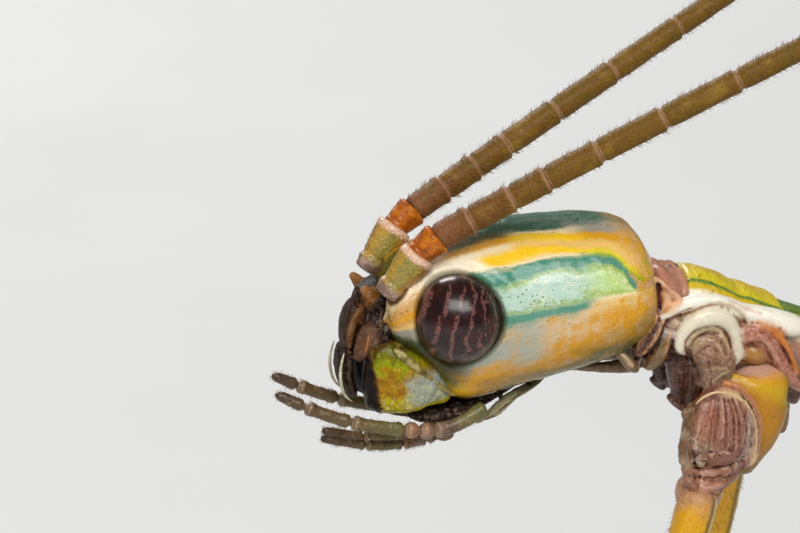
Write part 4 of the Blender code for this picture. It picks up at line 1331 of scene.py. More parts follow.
def melt(name, parts, nodes, material, voxel=0.07, rounds=5, ripple=0.03, strokes=(),
    sign=-1.0, warp=None):
    # join overlapping closed grids in one skin, soften where they meet, and carry
    # over the colour of each: parts are (grid, colour, how clean and even it is)
    joined = toMesh(name + "Rough", *joinParts([gridParts(grid, {}) for grid, _, _ in parts]))
    modifier = joined.modifiers.new("melt", "REMESH")
    modifier.mode = "VOXEL"
    modifier.voxel_size = voxel * mm
    graph = bpy.context.evaluated_depsgraph_get()
    data = bpy.data.meshes.new_from_object(joined.evaluated_get(graph))
    bpy.data.objects.remove(joined)
    count = len(data.vertices)
    points = np.empty(count * 3)
    data.vertices.foreach_get("co", points)
    points = (points.reshape(-1, 3) - np.array(eyesMid)) / mm
    edges = np.empty(len(data.edges) * 2, np.int64)
    data.edges.foreach_get("vertices", edges)
    a, b = edges.reshape(-1, 2).T
    share = np.bincount(a, minlength=count) + np.bincount(b, minlength=count)

    def average(values):
        total = np.zeros_like(values)
        for k in range(values.shape[1]):
            total[:, k] = (np.bincount(a, values[b, k], count) + np.bincount(b, values[a, k], count))
        return total / share[:, None]

    for _ in range(rounds):
        points = points * 0.4 + average(points) * 0.6

    def normals():
        data.vertices.foreach_set("co", (points * mm + np.array(eyesMid)).reshape(-1))
        data.update()
        out = np.empty(count * 3)
        data.vertex_normals.foreach_get("vector", out)
        return out.reshape(-1, 3)

    out = normals()
    if ripple:
        points = points + out * (ripple * rough(points, 0.4, 4.0))[:, None]
        out = normals()
    # colour of the nearest parts
    seeds, tones, cleans = [], [], []
    for grid, tone, clean in parts:
        some = grid[::2, ::2].reshape(-1, 3)
        seeds.append(some)
        tones.append(np.broadcast_to(tone, some.shape))
        cleans.append(np.full(len(some), float(clean)))
    seeds, tones, cleans = np.concatenate(seeds), np.concatenate(tones), np.concatenate(cleans)
    tree = kdtree.KDTree(len(seeds))
    for k, seed in enumerate(seeds):
        tree.insert(seed, k)
    tree.balance()
    colour = np.ones((count, 4))
    clean = np.empty(count)
    for k in range(count):
        found = tree.find_n(points[k], 5)
        index = [item[1] for item in found]
        weight = np.array([1 / (item[2] ** 2 + 0.003) for item in found])
        weight /= weight.sum()
        colour[k, :3] = weight @ tones[index]
        clean[k] = weight @ cleans[index]
    for _ in range(2):
        colour = colour * 0.5 + average(colour) * 0.5
    if strokes:
        points = points + out * drawStrokes(points, out, colour, clean, strokes, sign)[:, None]
        out = normals()
    hollow = ((average(points) - points) * out).sum(1)[:, None]
    for _ in range(2):
        hollow = hollow * 0.5 + average(hollow) * 0.5
    # about -1 on a crest to 1 in a crease, for the painted highlight and shade
    hollow = hollow[:, 0] / (voxel * 0.11)
    if warp:
        points = warp(points, sign)
        normals()
    layer = data.attributes.new("tone", "FLOAT_COLOR", "POINT")
    layer.data.foreach_set("color", colour.reshape(-1).astype(np.float32))
    addFields(data, {"hollow": hollow, "clean": clean})
    data.name = name
    piece = link(name, data)
    fixNormals(piece)
    return finishPiece(piece, nodes, material)


skinTone = {
    "maroon": (0.055, 0.018, 0.009),
    "wall": (0.11, 0.038, 0.018),
    "rust": (0.42, 0.185, 0.115),
    "collar": (0.46, 0.22, 0.13),
    "ear": (0.7, 0.4, 0.22),
    "earHollow": (0.2, 0.035, 0.018),
    "fold": (0.13, 0.055, 0.022),
    "ridge": (0.5, 0.22, 0.055),
    "lobe": (0.155, 0.095, 0.038),
    "lobePale": (0.48, 0.36, 0.19),
    "grey": (0.36, 0.3, 0.25),
    "white": (0.78, 0.74, 0.62),
    "arch": (0.69, 0.63, 0.48),
    "nest": (0.46, 0.36, 0.215),
    "stalk": (0.28, 0.155, 0.09),
    "clear": (0.17, 0.12, 0.058),
    "muscle": (0.4, 0.165, 0.105),
    "muscleDark": (0.13, 0.038, 0.022),
    "musclePale": (0.48, 0.25, 0.155),
    "rim": (0.5, 0.15, 0.012),
    "pad": (0.34, 0.165, 0.035),
    "ring": (0.44, 0.175, 0.065),
    "ringPale": (0.58, 0.4, 0.21),
    "window": (0.235, 0.086, 0.058),
    "windowDark": (0.075, 0.024, 0.017),
    "windowPale": (0.54, 0.34, 0.25),
    # pale white, partly a painted sheen, and painted glints
    "windowWhiteGlint": (0.46, 0.37, 0.32),
    "tissue": (0.15, 0.075, 0.032),
    "bead": (0.26, 0.18, 0.11),
    "hinge": (0.26, 0.112, 0.06),
    "hingeDark": (0.11, 0.038, 0.018),
    "thigh": (0.38, 0.19, 0.09),
    "knob": (0.21, 0.085, 0.018),
    "cone": (0.105, 0.052, 0.03),
    # dark horn, darkened further as painted shade
    "hornDark": (0.009, 0.004, 0.002),
    "horn": (0.026, 0.011, 0.004),
    "hornRust": (0.115, 0.042, 0.009),
    "lip": (0.014, 0.006, 0.003),
    "lipGreen": (0.05, 0.055, 0.014),
    "lipPale": (0.27, 0.26, 0.14),
    "lipTan": (0.2, 0.13, 0.06),
    "tan": (0.34, 0.22, 0.11),
    "pink": (0.37, 0.175, 0.112),
    "pinkPale": (0.44, 0.25, 0.16),
}

neck = {
    "form": ((7.2, 0.0, -2.6, 1.6, 0.9), (8.6, 0.0, -2.0, 2.0, 1.6), (9.8, 0.0, -1.45, 2.0, 1.95),
        (10.9, 0.0, -1.35, 2.1, 2.05), (11.9, 0.0, -1.65, 2.0, 2.0)),
}


def neckShape(part, turn):
    # rings of folded skin, deepest along the underside
    wave = np.sin(part * 34 + 1.6 * np.sin(turn * 2) + 0.8 * np.sin(turn * 5 + part * 9))
    return 0.16 * wave * smooth(0.05, 0.3, part) - 0.25 * bell(part, 0.62, 0.16)


def strand(points, radii, tone, clean=0.0, sign=1.0, flat=1.0, rows=60, cols=20, rounded=(0.12, 0.12),
    up=(0, 1, 0)):
    # a rounded cord through points given for the right side; the sign mirrors them
    path = [(a, sign * b, c) for a, b, c in points]
    radii = np.broadcast_to(radii, len(path))
    grid, _ = tube([(*p, r * flat, r) for p, r in zip(path, radii)], rows, cols, up=up, rounded=rounded)
    return grid, skinTone[tone], clean


def blob(centre, sizes, tone, clean=0.0, sign=1.0, lean=0.0, rows=30, cols=36):
    # a rounded lump, leaning in the plane of the side by some degrees
    tilt = np.linspace(0.03, np.pi - 0.03, rows)[:, None]
    turn = (2 * np.pi * np.arange(cols) / cols)[None]
    ball = np.stack(np.broadcast_arrays(np.sin(tilt) * np.cos(turn), np.cos(tilt),
        np.sin(tilt) * np.sin(turn)), -1)
    ball = ball * np.array(sizes)
    spin = np.array(Matrix.Rotation(math.radians(lean), 3, "Y"))
    grid = ball @ spin.T + np.array(centre)
    grid[..., 1] *= sign
    return grid, skinTone[tone], clean


neckMaterial = meltPaint("neckPaint", 0.09)
neckCore, fields = tube(neck["form"], 110, 120, rounded=(0.05, 0.05), shape=neckShape)
melt("neckSkin", [(neckCore, skinTone["maroon"], 0.0)], ["neck"], neckMaterial, 0.12, 2, 0.08)


def shoulderParts(sign):
    # the solid forms between the head and the front leg; lines are drawn on them after
    cord, lump = partial(strand, sign=sign), partial(blob, sign=sign)
    low = 0.6 if sign > 0 else 0.0
    return [
        cord(((9.8, 1.25, -1.6), (11.5, 1.45, -1.8), (13.5, 1.55, -2.4), (15.5, 1.55, -3.1),
            (17.6, 1.4, -4.2)), (0.8, 1.0, 1.0, 1.0, 0.6), "wall", flat=1.3),
        # dark maroon strands down the far side under the neck: painted shade, a dark solid where that side
        # lies in shadow
        cord(((10.9, 1.0, -2.4), (11.0, 1.45, -3.4), (11.15, 1.45, -4.5), (11.25, 1.2, -5.6)),
            (0.5, 0.58, 0.52, 0.3), "maroon", 0.4),
        cord(((11.7, 1.2, -2.8), (11.75, 1.6, -3.8), (11.8, 1.5, -4.9), (11.7, 1.3, -5.9)),
            (0.5, 0.55, 0.52, 0.3), "maroon", 0.4),
        cord(((10.6, 1.2, -5.2), (11.0, 1.5, -5.6), (11.5, 1.6, -6.0)), (0.12, 0.18, 0.15), "maroon", 0.3),
        cord(((8.8, 1.5, -2.9), (9.5, 1.7, -3.2), (10.2, 1.7, -2.9), (10.7, 1.6, -2.5)),
            (0.3, 0.45, 0.5, 0.4), "maroon", 0.3),
        cord(((9.6, 0.8, -3.2), (9.0, 0.9, -3.6), (8.0, 0.9, -3.7), (6.6, 0.8, -3.6), (4.9, 0.7, -3.5)),
            (0.5, 0.42, 0.3, 0.22, 0.12), "lobe", 0.3),
        # collar over the top
        cord(((10.25, 0.0, 0.58), (10.32, 0.7, 0.62), (10.35, 1.25, 0.38), (10.25, 1.75, -0.05),
            (10.1, 2.0, -0.4)), (0.38, 0.38, 0.34, 0.28, 0.18), "rust", 0.45, up=(0, 0, 1)),
        cord(((10.78, 0.0, 0.48), (10.84, 0.7, 0.5), (10.88, 1.25, 0.25), (10.85, 1.8, -0.18)),
            (0.3, 0.32, 0.29, 0.22), "pink", 0.5, up=(0, 0, 1)),
        cord(((11.14, 0.0, 0.4), (11.2, 0.7, 0.42), (11.24, 1.25, 0.16), (11.2, 1.85, -0.3)),
            (0.36, 0.36, 0.3, 0.2), "collar", 0.7, up=(0, 0, 1)),
        cord(((10.5, 0.0, 0.3), (10.6, 1.2, 0.15), (10.6, 1.9, -0.4), (10.6, 2.1, -1.0)),
            (0.5, 0.5, 0.4, 0.25), "rust", 0.6, up=(0, 0, 1)),
        # ear-shaped flap
        cord(((9.62, 2.08, 0.86), (9.82, 2.06, 0.2), (9.88, 2.04, -0.55), (9.72, 2.0, -0.95)),
            (0.14, 0.26, 0.26, 0.2), "earHollow", 0.8, flat=1.6),
        cord(((9.95, 2.18, 0.45), (10.22, 2.22, 0.05), (10.28, 2.22, -0.35), (10.05, 2.16, -0.75)),
            (0.1, 0.2, 0.22, 0.14), "ear", 0.7),
        cord(((9.54, 2.24, 1.08), (9.95, 2.34, 0.66), (10.38, 2.42, 0.22), (10.7, 2.44, -0.12),
            (10.42, 2.42, -0.45), (10.1, 2.36, -0.72)), (0.07, 0.12, 0.14, 0.16, 0.15, 0.12), "ear", 0.8),
        cord(((9.53, 2.26, 1.06), (9.47, 2.38, 0.4), (9.48, 2.4, -0.3), (9.6, 2.34, -1.0)),
            (0.07, 0.12, 0.13, 0.11), "ear", 0.7),
        # long fold down under the cheek, its lobes and the knob beside it
        cord(((9.95, 2.05, -0.95), (9.65, 2.15, -1.55), (9.18, 2.18, -2.25), (8.72, 2.05, -2.85)),
            (0.34, 0.46, 0.44, 0.24), "fold", flat=0.95),
        cord(((10.15, 2.05, -1.5), (10.05, 2.15, -2.35), (9.7, 2.15, -3.05), (9.25, 1.95, -3.55)),
            (0.34, 0.44, 0.44, 0.24), "lobe", 0.4, flat=0.9),
        cord(((7.75, 1.85, -2.5), (8.2, 2.08, -2.88), (8.58, 2.12, -3.28), (8.95, 1.95, -3.62)),
            (0.12, 0.25, 0.29, 0.18), "lobe", 0.6),
        lump((10.38, 2.2, -1.8), (0.46, 0.38, 0.24), "grey", 0.5, lean=18),
        # white plate along the side, the right one a little lower
        cord(((9.75, 2.15, -1.05), (10.25, 2.28, -0.82 - low), (10.75, 2.32, -0.52 - low),
            (11.69, 2.38, -0.3 - low), (12.77, 2.38, -0.44 - low), (13.9, 2.38, -0.97 - low),
            (14.9, 2.36, -1.35 - low), (16.14, 2.3, -1.85 - 0.7 * low), (17.2, 2.2, -2.2 - 0.5 * low)),
            (0.14, 0.24, 0.32, 0.36, 0.34, 0.4, 0.52, 0.58, 0.4), "white", 1.0, rows=90, cols=30),
        cord(((10.95, 2.25, -1.12), (11.5, 2.28, -0.78), (12.2, 2.28, -0.64), (12.95, 2.28, -0.8),
            (13.55, 2.24, -1.28), (13.85, 2.15, -1.9)), (0.2, 0.26, 0.28, 0.28, 0.28, 0.2), "nest", 0.7),
        # arch over the leg, the rings inside it and the stalk
        cord(((11.1, 2.45, -2.86), (10.84, 2.5, -2.55), (10.8, 2.52, -2.05), (11.05, 2.55, -1.56),
            (11.55, 2.56, -1.14), (12.15, 2.56, -1.0), (12.78, 2.56, -1.14), (13.24, 2.56, -1.62),
            (13.53, 2.55, -2.3), (13.66, 2.5, -3.0), (13.68, 2.42, -3.6)),
            (0.14, 0.25, 0.28, 0.35, 0.46, 0.52, 0.49, 0.37, 0.27, 0.22, 0.12), "arch", 0.9,
            rows=110, cols=30),
        cord(((11.25, 2.36, -2.6), (11.25, 2.4, -2.1), (11.6, 2.42, -1.7), (12.12, 2.42, -1.52),
            (12.66, 2.42, -1.68), (13.05, 2.4, -2.2), (13.26, 2.32, -2.95)),
            (0.12, 0.22, 0.25, 0.27, 0.25, 0.22, 0.1), "nest", 0.7, rows=80),
        cord(((11.45, 2.36, -2.72), (11.55, 2.42, -2.32), (11.88, 2.44, -2.06), (12.22, 2.44, -1.98),
            (12.58, 2.42, -2.18), (12.86, 2.38, -2.62), (13.05, 2.3, -3.2)),
            (0.1, 0.18, 0.2, 0.2, 0.2, 0.18, 0.08), "tan", 0.6, rows=80),
        cord(((12.3, 2.0, -1.95), (12.38, 2.1, -2.45), (12.58, 2.2, -3.1), (12.72, 2.35, -3.9),
            (12.74, 2.5, -4.8)), (0.7, 0.82, 0.8, 0.7, 0.7), "stalk", flat=1.22, rows=80, cols=50,
            up=(0, 1, 0)),
        lump((12.75, 2.42, -3.8), (0.74, 0.66, 0.72), "clear", 0.6),
        # hip: translucent pad, bunched muscle and its orange edge
        lump((14.55, 2.3, -3.1), (0.72, 0.52, 0.56), "pad", 0.6, lean=15),
        cord(((13.88, 2.15, -2.75), (14.0, 2.4, -2.15), (14.38, 2.5, -1.98), (14.85, 2.54, -2.3),
            (15.35, 2.54, -3.02), (15.88, 2.48, -3.85), (16.5, 2.3, -4.7), (17.3, 1.9, -5.4)),
            (0.32, 0.46, 0.5, 0.46, 0.38, 0.33, 0.28, 0.15), "muscle", flat=1.1, rows=120, cols=40),
        cord(((14.15, 2.5, -1.5), (14.65, 2.72, -1.52), (15.1, 2.8, -1.76), (15.5, 2.83, -2.12),
            (15.88, 2.82, -2.65), (16.25, 2.74, -3.35), (16.75, 2.5, -4.4)),
            (0.07, 0.13, 0.16, 0.17, 0.16, 0.13, 0.07), "rim", 0.6),
        cord(((16.0, 1.1, -4.2), (16.6, 1.3, -5.1), (17.0, 1.3, -6.2)), (0.45, 0.48, 0.28), "wall"),
    ]


shoulderLines = [
    # flap: dark hollow, pale edge
    (((9.72, 0.7), (9.8, 0.1), (9.84, -0.62)), 0.13, -0.2, "earHollow", 1.0, 0.9),
    (((9.6, 0.98), (9.95, 0.62), (10.35, 0.24), (10.62, -0.04)), 0.06, 0.036, "collar", 0.76, 0.5),
    (((9.5, 0.85), (9.47, 0.1), (9.52, -0.75)), 0.05, 0.0288, "collar", 0.57, 0.5),
    (((10.35, -0.35), (10.1, -0.62), (9.92, -0.86)), 0.1, 0.0144, "ridge", 0.76, 0.3),
    # long fold: bright ridges with brown between them
    (((9.72, -0.85), (9.32, -1.38), (8.96, -1.84), (8.62, -2.4)), 0.075, 0.0864, "ridge", 0.902, 0.4),
    (((9.98, -1.05), (9.7, -1.62), (9.36, -2.15), (9.02, -2.62)), 0.07, 0.0864, "ridge", 0.807, 0.3),
    (((9.84, -0.98), (9.5, -1.52), (9.16, -2.02), (8.82, -2.56)), 0.09, -0.0864, "maroon", 0.72, 0.1),
    (((10.06, -1.28), (9.84, -1.9), (9.52, -2.5), (9.1, -3.0)), 0.08, -0.115, "maroon", 0.72, 0.1),
    (((10.3, -1.55), (10.22, -2.2), (9.98, -2.85)), 0.07, 0.0432, "ridge", 0.522, 0.3),
    (((9.35, -2.9), (9.22, -3.25), (9.05, -3.6)), 0.1, -0.108, "windowDark", 0.72, 0.1),
    # pale stroke down the small lobe: its painted highlight
    (((7.95, -2.55), (8.3, -2.85), (8.55, -3.2)), 0.1, 0.02, "lobePale", 0.8, 0.7),
    (((9.15, -2.85), (9.02, -3.15), (8.9, -3.45)), 0.05, 0.0504, "grey", 0.665, 0.4),
    (((9.95, -1.18), (10.28, -1.12), (10.62, -1.32)), 0.12, 0.0216, "collar", 0.665, 0.4),
    # groove between the plate and the arch
    (((10.45, -1.5), (10.9, -1.03), (11.47, -0.62), (12.24, -0.4), (13.05, -0.52), (13.7, -0.98),
        (13.98, -1.6)), 0.11, -0.015, "nest", 0.85, 0.8),
    (((10.3, -0.98), (10.75, -0.72), (11.3, -0.52)), 0.05, -0.036, "collar", 0.665, 0.5),
    (((13.1, -0.25), (13.9, -0.72), (14.7, -1.05)), 0.09, -0.036, "collar", 0.427, 0.7),
    # rings inside the arch
    (((11.02, -2.62), (11.06, -2.08), (11.4, -1.64), (12.02, -1.42), (12.62, -1.52), (13.02, -1.98),
        (13.26, -2.65)), 0.06, -0.0432, "nest", 0.712, 0.5),
    (((11.2, -2.55), (11.26, -2.12), (11.58, -1.8), (12.08, -1.64), (12.56, -1.74), (12.9, -2.16),
        (13.14, -2.8)), 0.06, 0.0432, "lobePale", 0.712, 0.5),
    (((11.36, -2.5), (11.44, -2.2), (11.72, -1.98), (12.1, -1.86), (12.46, -1.96), (12.76, -2.36),
        (13.0, -2.95)), 0.05, -0.0504, "stalk", 0.72, 0.3),
    (((11.5, -2.55), (11.62, -2.36), (11.84, -2.2), (12.12, -2.1), (12.4, -2.2), (12.62, -2.56),
        (12.86, -3.1)), 0.05, 0.0432, "nest", 0.76, 0.3),
    (((11.66, -2.75), (11.78, -2.56), (12.12, -2.36), (12.34, -2.48), (12.5, -2.8)), 0.045, -0.0432,
        "wall", 0.64, 0.2),
    (((11.45, -2.85), (11.8, -2.95), (12.3, -2.72), (12.62, -2.95)), 0.05, 0.036, "collar", 0.475, 0.3),
    (((11.7, -3.35), (12.2, -3.22), (12.7, -3.3), (13.2, -3.1)), 0.06, -0.0504, "wall", 0.48, 0.3),
    (((11.95, -3.6), (12.4, -3.45), (12.95, -3.52)), 0.05, 0.036, "lobePale", 0.475, 0.5),
    (((12.25, -4.15), (12.62, -3.8), (13.1, -3.62)), 0.05, 0.036, "lobePale", 0.427, 0.5),
    (((11.15, -2.95), (11.45, -3.25), (11.75, -3.75), (11.95, -4.3)), 0.12, -0.036, "maroon", 0.64, 0.1),
    # cream foot of the arch in front
    (((10.72, -2.7), (10.95, -2.86), (11.2, -2.78)), 0.08, 0.0432, "arch", 0.57, 0.6),
    # muscle fibres
    (((14.05, -2.25), (14.5, -2.05), (15.05, -2.62), (15.55, -3.5), (16.05, -4.6)), 0.06, 0.04,
        "musclePale", 0.6, 0.2),
    (((14.15, -2.5), (14.6, -2.38), (15.0, -2.95), (15.4, -3.75), (15.9, -4.75)), 0.05, -0.05,
        "muscleDark", 0.6, 0.3),
    (((14.45, -1.8), (14.95, -2.12), (15.45, -2.8), (15.95, -3.8)), 0.045, -0.045, "muscleDark", 0.5, 0.3),
]
# dark pleats down the wall under the neck
for step in range(6):
    ahead = 10.55 + 0.3 * step
    shoulderLines.append((((ahead, -3.0), (ahead + 0.15, -3.9), (ahead + 0.3 - 0.05 * step, -4.9)), 0.05,
        (0.03, -0.05)[step % 2], ("wall", "maroon")[step % 2], 0.5, 0.3))

shoulderMaterial = meltPaint("shoulderPaint", 0.045)
for word, sign in sides:
    melt("shoulder_" + word, shoulderParts(sign), None, shoulderMaterial, 0.075, 4, 0.02,
        shoulderLines, sign)
print("neck")

# front of the face and the lower lip, in the head's own frame


def inHead(points):
    return [tuple(headPoint(*point)) for point in points]


def headStroke(path, *rest):
    return ([tuple(headPoint(a, 0, c)[[0, 2]]) for a, c in path], *rest)


def headBlob(centre, *rest, **more):
    return blob(tuple(headPoint(*centre)), *rest, **more)


def faceParts():
    # brow between the feelers, the shield below it and the lobes beside the lip; the brow is dark horn,
    # darkened further as painted shade
    parts = [
        headBlob((-3.1, 0.0, 0.8), (0.85, 1.55, 1.05), "hornDark", 0.3),
        headBlob((-3.45, 0.0, 0.15), (0.8, 1.7, 0.8), "hornDark", 0.1),
        strand(inHead(((-3.2, 0.0, 1.6), (-3.6, 0.0, 0.9), (-4.0, 0.0, 0.2), (-4.45, 0.0, -0.55),
            (-4.85, 0.0, -1.1))), (0.55, 0.55, 0.5, 0.45, 0.35), "horn", flat=1.6, up=(1, 0, 0)),
        strand(inHead(((-3.95, 0.0, 0.95), (-4.3, 0.0, 0.55), (-4.56, 0.0, 0.05), (-4.74, 0.0, -0.5),
            (-4.84, 0.0, -1.05))), (0.18, 0.22, 0.24, 0.24, 0.2), "horn", 0.3, flat=3.6,
            up=(1, 0, 0), cols=40),
        # the upper lip, a dark plate
        strand(inHead(((-4.75, 0.0, -0.95), (-5.0, 0.0, -1.6), (-5.12, 0.0, -2.3), (-5.05, 0.0, -2.95),
            (-4.8, 0.0, -3.5))), (0.3, 0.36, 0.36, 0.32, 0.2), "lip", 0.5, flat=3.2, up=(1, 0, 0), cols=40),
    ]
    for _, sign in sides:
        cord = partial(strand, sign=sign)
        parts += [
            cord(inHead(((-3.3, 0.9, 1.2), (-3.55, 1.02, 1.6), (-3.75, 1.1, 1.95))), (0.36, 0.27, 0.17),
                "knob", 0.5, rows=40, cols=30),
            cord(inHead(((-3.86, 0.82, 0.9), (-4.22, 0.84, 0.55), (-4.5, 0.84, 0.08), (-4.68, 0.82, -0.42),
                (-4.78, 0.8, -1.0))), (0.1, 0.16, 0.18, 0.16, 0.1), "hornRust", 0.5),
            # the lobe beside the lip, with its orange crest
            cord(inHead(((-3.35, 1.35, 0.05), (-3.85, 1.42, -0.4), (-4.25, 1.34, -0.9),
                (-4.66, 1.12, -1.42))), (0.5, 0.58, 0.44, 0.2), "cone", 0.4, cols=30),
            # dark horn beside the cheek, darkened as painted shade
            cord(inHead(((-3.1, 1.85, 0.25), (-3.22, 1.78, -0.25), (-3.36, 1.66, -0.75))),
                (0.22, 0.3, 0.24), "hornDark", 0.2),
        ]
    return parts


faceLines = [
    # a thin pale line along the shield's rim: painted highlight
    headStroke(((-4.1, 0.8), (-4.48, 0.38), (-4.74, -0.15)), 0.03, 0.02, "lipTan", 0.8, 0.9),
    headStroke(((-3.98, -0.02), (-4.14, -0.5), (-4.3, -1.02)), 0.05, 0.035, "rim", 0.55, 0.9),
    headStroke(((-4.2, -0.1), (-4.4, -0.55), (-4.58, -1.1)), 0.1, -0.02, "hornRust", 0.5, 0.8),
    headStroke(((-3.72, -0.3), (-3.84, -0.75), (-3.98, -1.15)), 0.1, -0.02, "lipTan", 0.45, 0.8),
    headStroke(((-3.45, 1.15), (-3.65, 0.8), (-3.85, 0.4)), 0.05, 0.04, "horn", 0.7, 0.5),
    headStroke(((-3.15, 0.7), (-3.3, 0.3), (-3.45, 0.0)), 0.06, 0.04, "hornRust", 0.4, 0.5),
]
faceMaterial = meltPaint("facePaint", 0.05, 0.2, (1, 1, 1), 0.5, 0.03, 0.08)
melt("faceFront", faceParts(), ["clypeus", "labrum"], faceMaterial, 0.065, 3, 0.03,
    faceLines, -1.0)


def lipParts():
    parts = [
        strand(inHead(((3.4, 0.0, -4.55), (2.2, 0.0, -4.75), (0.8, 0.0, -4.95), (-1.0, 0.0, -4.95),
            (-2.8, 0.0, -4.6), (-3.9, 0.0, -4.2))), (0.2, 0.4, 0.55, 0.6, 0.45, 0.25), "lip", flat=2.0,
            rows=90, cols=40, up=(0, 0, 1)),
    ]
    for _, sign in sides:
        cord, lump = partial(strand, sign=sign), partial(blob, sign=sign)
        parts += [
            cord(inHead(((0.45, 1.1, -5.85), (1.05, 1.22, -5.66), (1.65, 1.22, -5.36), (2.25, 1.15, -5.08),
                (2.8, 1.0, -4.8))), (0.12, 0.28, 0.33, 0.28, 0.12), "lipPale", 0.2, flat=0.8),
            cord(inHead(((2.05, 0.95, -5.2), (2.75, 1.0, -5.0), (3.4, 0.95, -4.82), (4.05, 0.85, -4.68))),
                (0.12, 0.24, 0.22, 0.08), "lipGreen", 0.3, flat=0.8),
            cord(inHead(((-2.9, 1.35, -4.45), (-1.9, 1.55, -4.8), (-0.8, 1.65, -5.1), (0.0, 1.65, -5.25),
                (0.7, 1.45, -5.35))), (0.22, 0.34, 0.4, 0.42, 0.28), "lip", 0.1, rows=80),
            lump(tuple(headPoint(-0.35, 1.55, -5.28)), (0.42, 0.42, 0.34), "lipTan", 0.2),
            lump(tuple(headPoint(0.42, 1.45, -5.52)), (0.36, 0.38, 0.3), "lipPale", 0.1),
            lump(tuple(headPoint(-1.2, 0.85, -6.2)), (0.5, 0.35, 0.3), "lipTan", 0.1, lean=8),
            cord(inHead(((-1.1, 0.8, -5.9), (-0.6, 0.9, -5.5), (-0.3, 1.0, -5.1))),
                (0.25, 0.32, 0.35), "lip"),
        ]
    return parts


lipLines = [
    headStroke(((0.7, -5.92), (1.25, -5.62), (1.95, -5.28), (2.55, -5.0)), 0.05, -0.09, "lip", 0.9, 0.3),
    headStroke(((0.85, -5.7), (1.45, -5.38), (2.1, -5.08)), 0.04, 0.05, "lipTan", 0.7, 0.3),
    headStroke(((2.35, -5.24), (2.95, -5.02), (3.6, -4.85)), 0.04, 0.06, "lipPale", 0.6, 0.4),
    headStroke(((-2.6, -4.85), (-1.6, -5.15), (-0.7, -5.42)), 0.05, 0.05, "lipTan", 0.6, 0.1),
    headStroke(((0.1, -5.1), (0.08, -5.6)), 0.05, -0.1, "lip", 0.9, 0.3),
    headStroke(((-0.8, -5.0), (-0.78, -5.5)), 0.05, -0.1, "lip", 0.9, 0.3),
]
melt("lowerLip", lipParts(), ["labium"], faceMaterial, 0.07, 2, 0.04, lipLines, -1.0)
print("face")


# front plate


def pronotumShape(distance, share):
    # the crown plate stands a little proud and ends in a step behind
    step = smooth(4.35, 3.95, distance) * smooth(0.36, 0.24, share)
    crossing = bell(distance, 1.7, 0.35) * smooth(0.3, 0.15, share)
    sunk = smooth(0.3, 0.42, share) * smooth(0.72, 0.6, share)
    return 0.16 * step - 0.1 * crossing - 0.38 * sunk * smooth(4.2, 3.0, distance)


frontPlatePaint = trunkPaint("frontPlatePaint", ((0.66, 0.42, 0.002), (0.62, 0.5, 0.002),
    (0.62, 0.42, 0.003)), (0.1, 0.2, 0.02), ((0.78, 0.68, 0.48), (0.84, 0.78, 0.62)),
    ((0.2, 0.085, 0.06), (0.12, 0.045, 0.03)), (0.155, 0.185, 0.24, 0.33))
grid, fields = trunkGrid(-0.9, 4.4, 90, 150, shape=pronotumShape)
gridPiece("frontPlate", grid, None, frontPlatePaint, fields)

backPlatePaint = trunkPaint("backPlatePaint", ((0.07, 0.14, 0.01), (0.12, 0.2, 0.012), (0.3, 0.34, 0.04)),
    (0.05, 0.11, 0.012), ((0.8, 0.72, 0.54), (0.86, 0.8, 0.66)), ((0.34, 0.16, 0.1), (0.16, 0.07, 0.045)),
    (0.1, 0.125, 0.15, 0.36))
grid, fields = trunkGrid(3.9, 9.0, 80, 150, lift=-0.1)
gridPiece("frontPlateBack", grid, ["prothorax"], backPlatePaint, fields)
print("front plates")


# front coxae

coxa = {
    # x, y, z, half depth, half width: as on the left leg
    "form": ((14.75, 2.15, -3.62, 0.85, 1.1), (14.75, 2.2, -4.2, 1.1, 1.52), (14.35, 2.3, -5.1, 1.22, 1.98),
        (13.95, 2.38, -6.1, 1.26, 2.1), (13.55, 2.42, -7.1, 1.22, 1.98), (13.25, 2.42, -8.0, 1.05, 1.6),
        (12.95, 2.5, -8.8, 0.85, 1.15)),
    # how much further back the right one stands, by height
    "shear": ((-9.5, 3.7), (-8.85, 3.5), (-7.1, 2.15), (-5.2, 0.8), (-2.9, 0.45)),
}


def shearRight(grid, sign):
    if sign > 0:
        heights, shifts = np.array(coxa["shear"]).T
        grid = grid.copy()
        grid[..., 0] += np.interp(grid[..., 2], heights, shifts)
    return grid


def coxaPaint():
    paint = Paint("coxaPaint", rough=0.36, coat=0.3, coatRough=0.16, soft=0.08, softScale=0.5 * mm,
        specular=0.3)
    along, around = paint.field("along"), paint.field("around")
    cloud = paint.noise(1.1, 4, 0.6)
    rear = paint.calc("PINGPONG", around, 0.5)
    rear = paint.sway(rear, cloud, 0.16)
    colour = paint.ramp(rear, (0.0, (0.17, 0.12, 0.001)), (0.07, (0.32, 0.2, 0.001)),
        (0.15, (0.56, 0.27, 0.001)), (0.25, (0.58, 0.25, 0.001)), (0.33, (0.5, 0.2, 0.001)),
        (0.5, (0.36, 0.12, 0.003)))
    place = paint.plus(along, cloud, 0.1)
    colour = paint.wash(colour, (0.48, 0.27, 0.19), place, 0.17, 0.1, 0.95)
    colour = paint.mix(colour, (0.58, 0.42, 0.003), paint.times(paint.between(place, 0.15, 0.24),
        paint.between(place, 0.36, 0.24, 0.0, 0.6)))
    # an orange band high up, then darker and olive towards the lower end: painted shade
    colour = paint.layers(colour, ((0.4, 0.16, 0.001), place, 0.16, 0.4, 0.8),
        ((0.24, 0.11, 0.003), place, 0.55, 0.85, 0.6), ((0.13, 0.1, 0.008), place, 0.8, 1.0, 0.7))
    colour = paint.specks(colour, 0.4, 0.16, 0.07, 1.0, 0.48, 0.6, 0.8)
    streak = paint.noise(0.14, 4, 0.7, at=(1, 1, 0.25))
    colour = paint.layers(colour, ((0.62, 0.36, 0.01), streak, 0.56, 0.75, 0.35),
        ((0.28, 0.15, 0.01), streak, 0.44, 0.26, 0.45))
    return paint.finish(colour, paint.plus(paint.noise(0.1, 4, 0.6), paint.noise(0.5, 3), 1.4), 0.06)


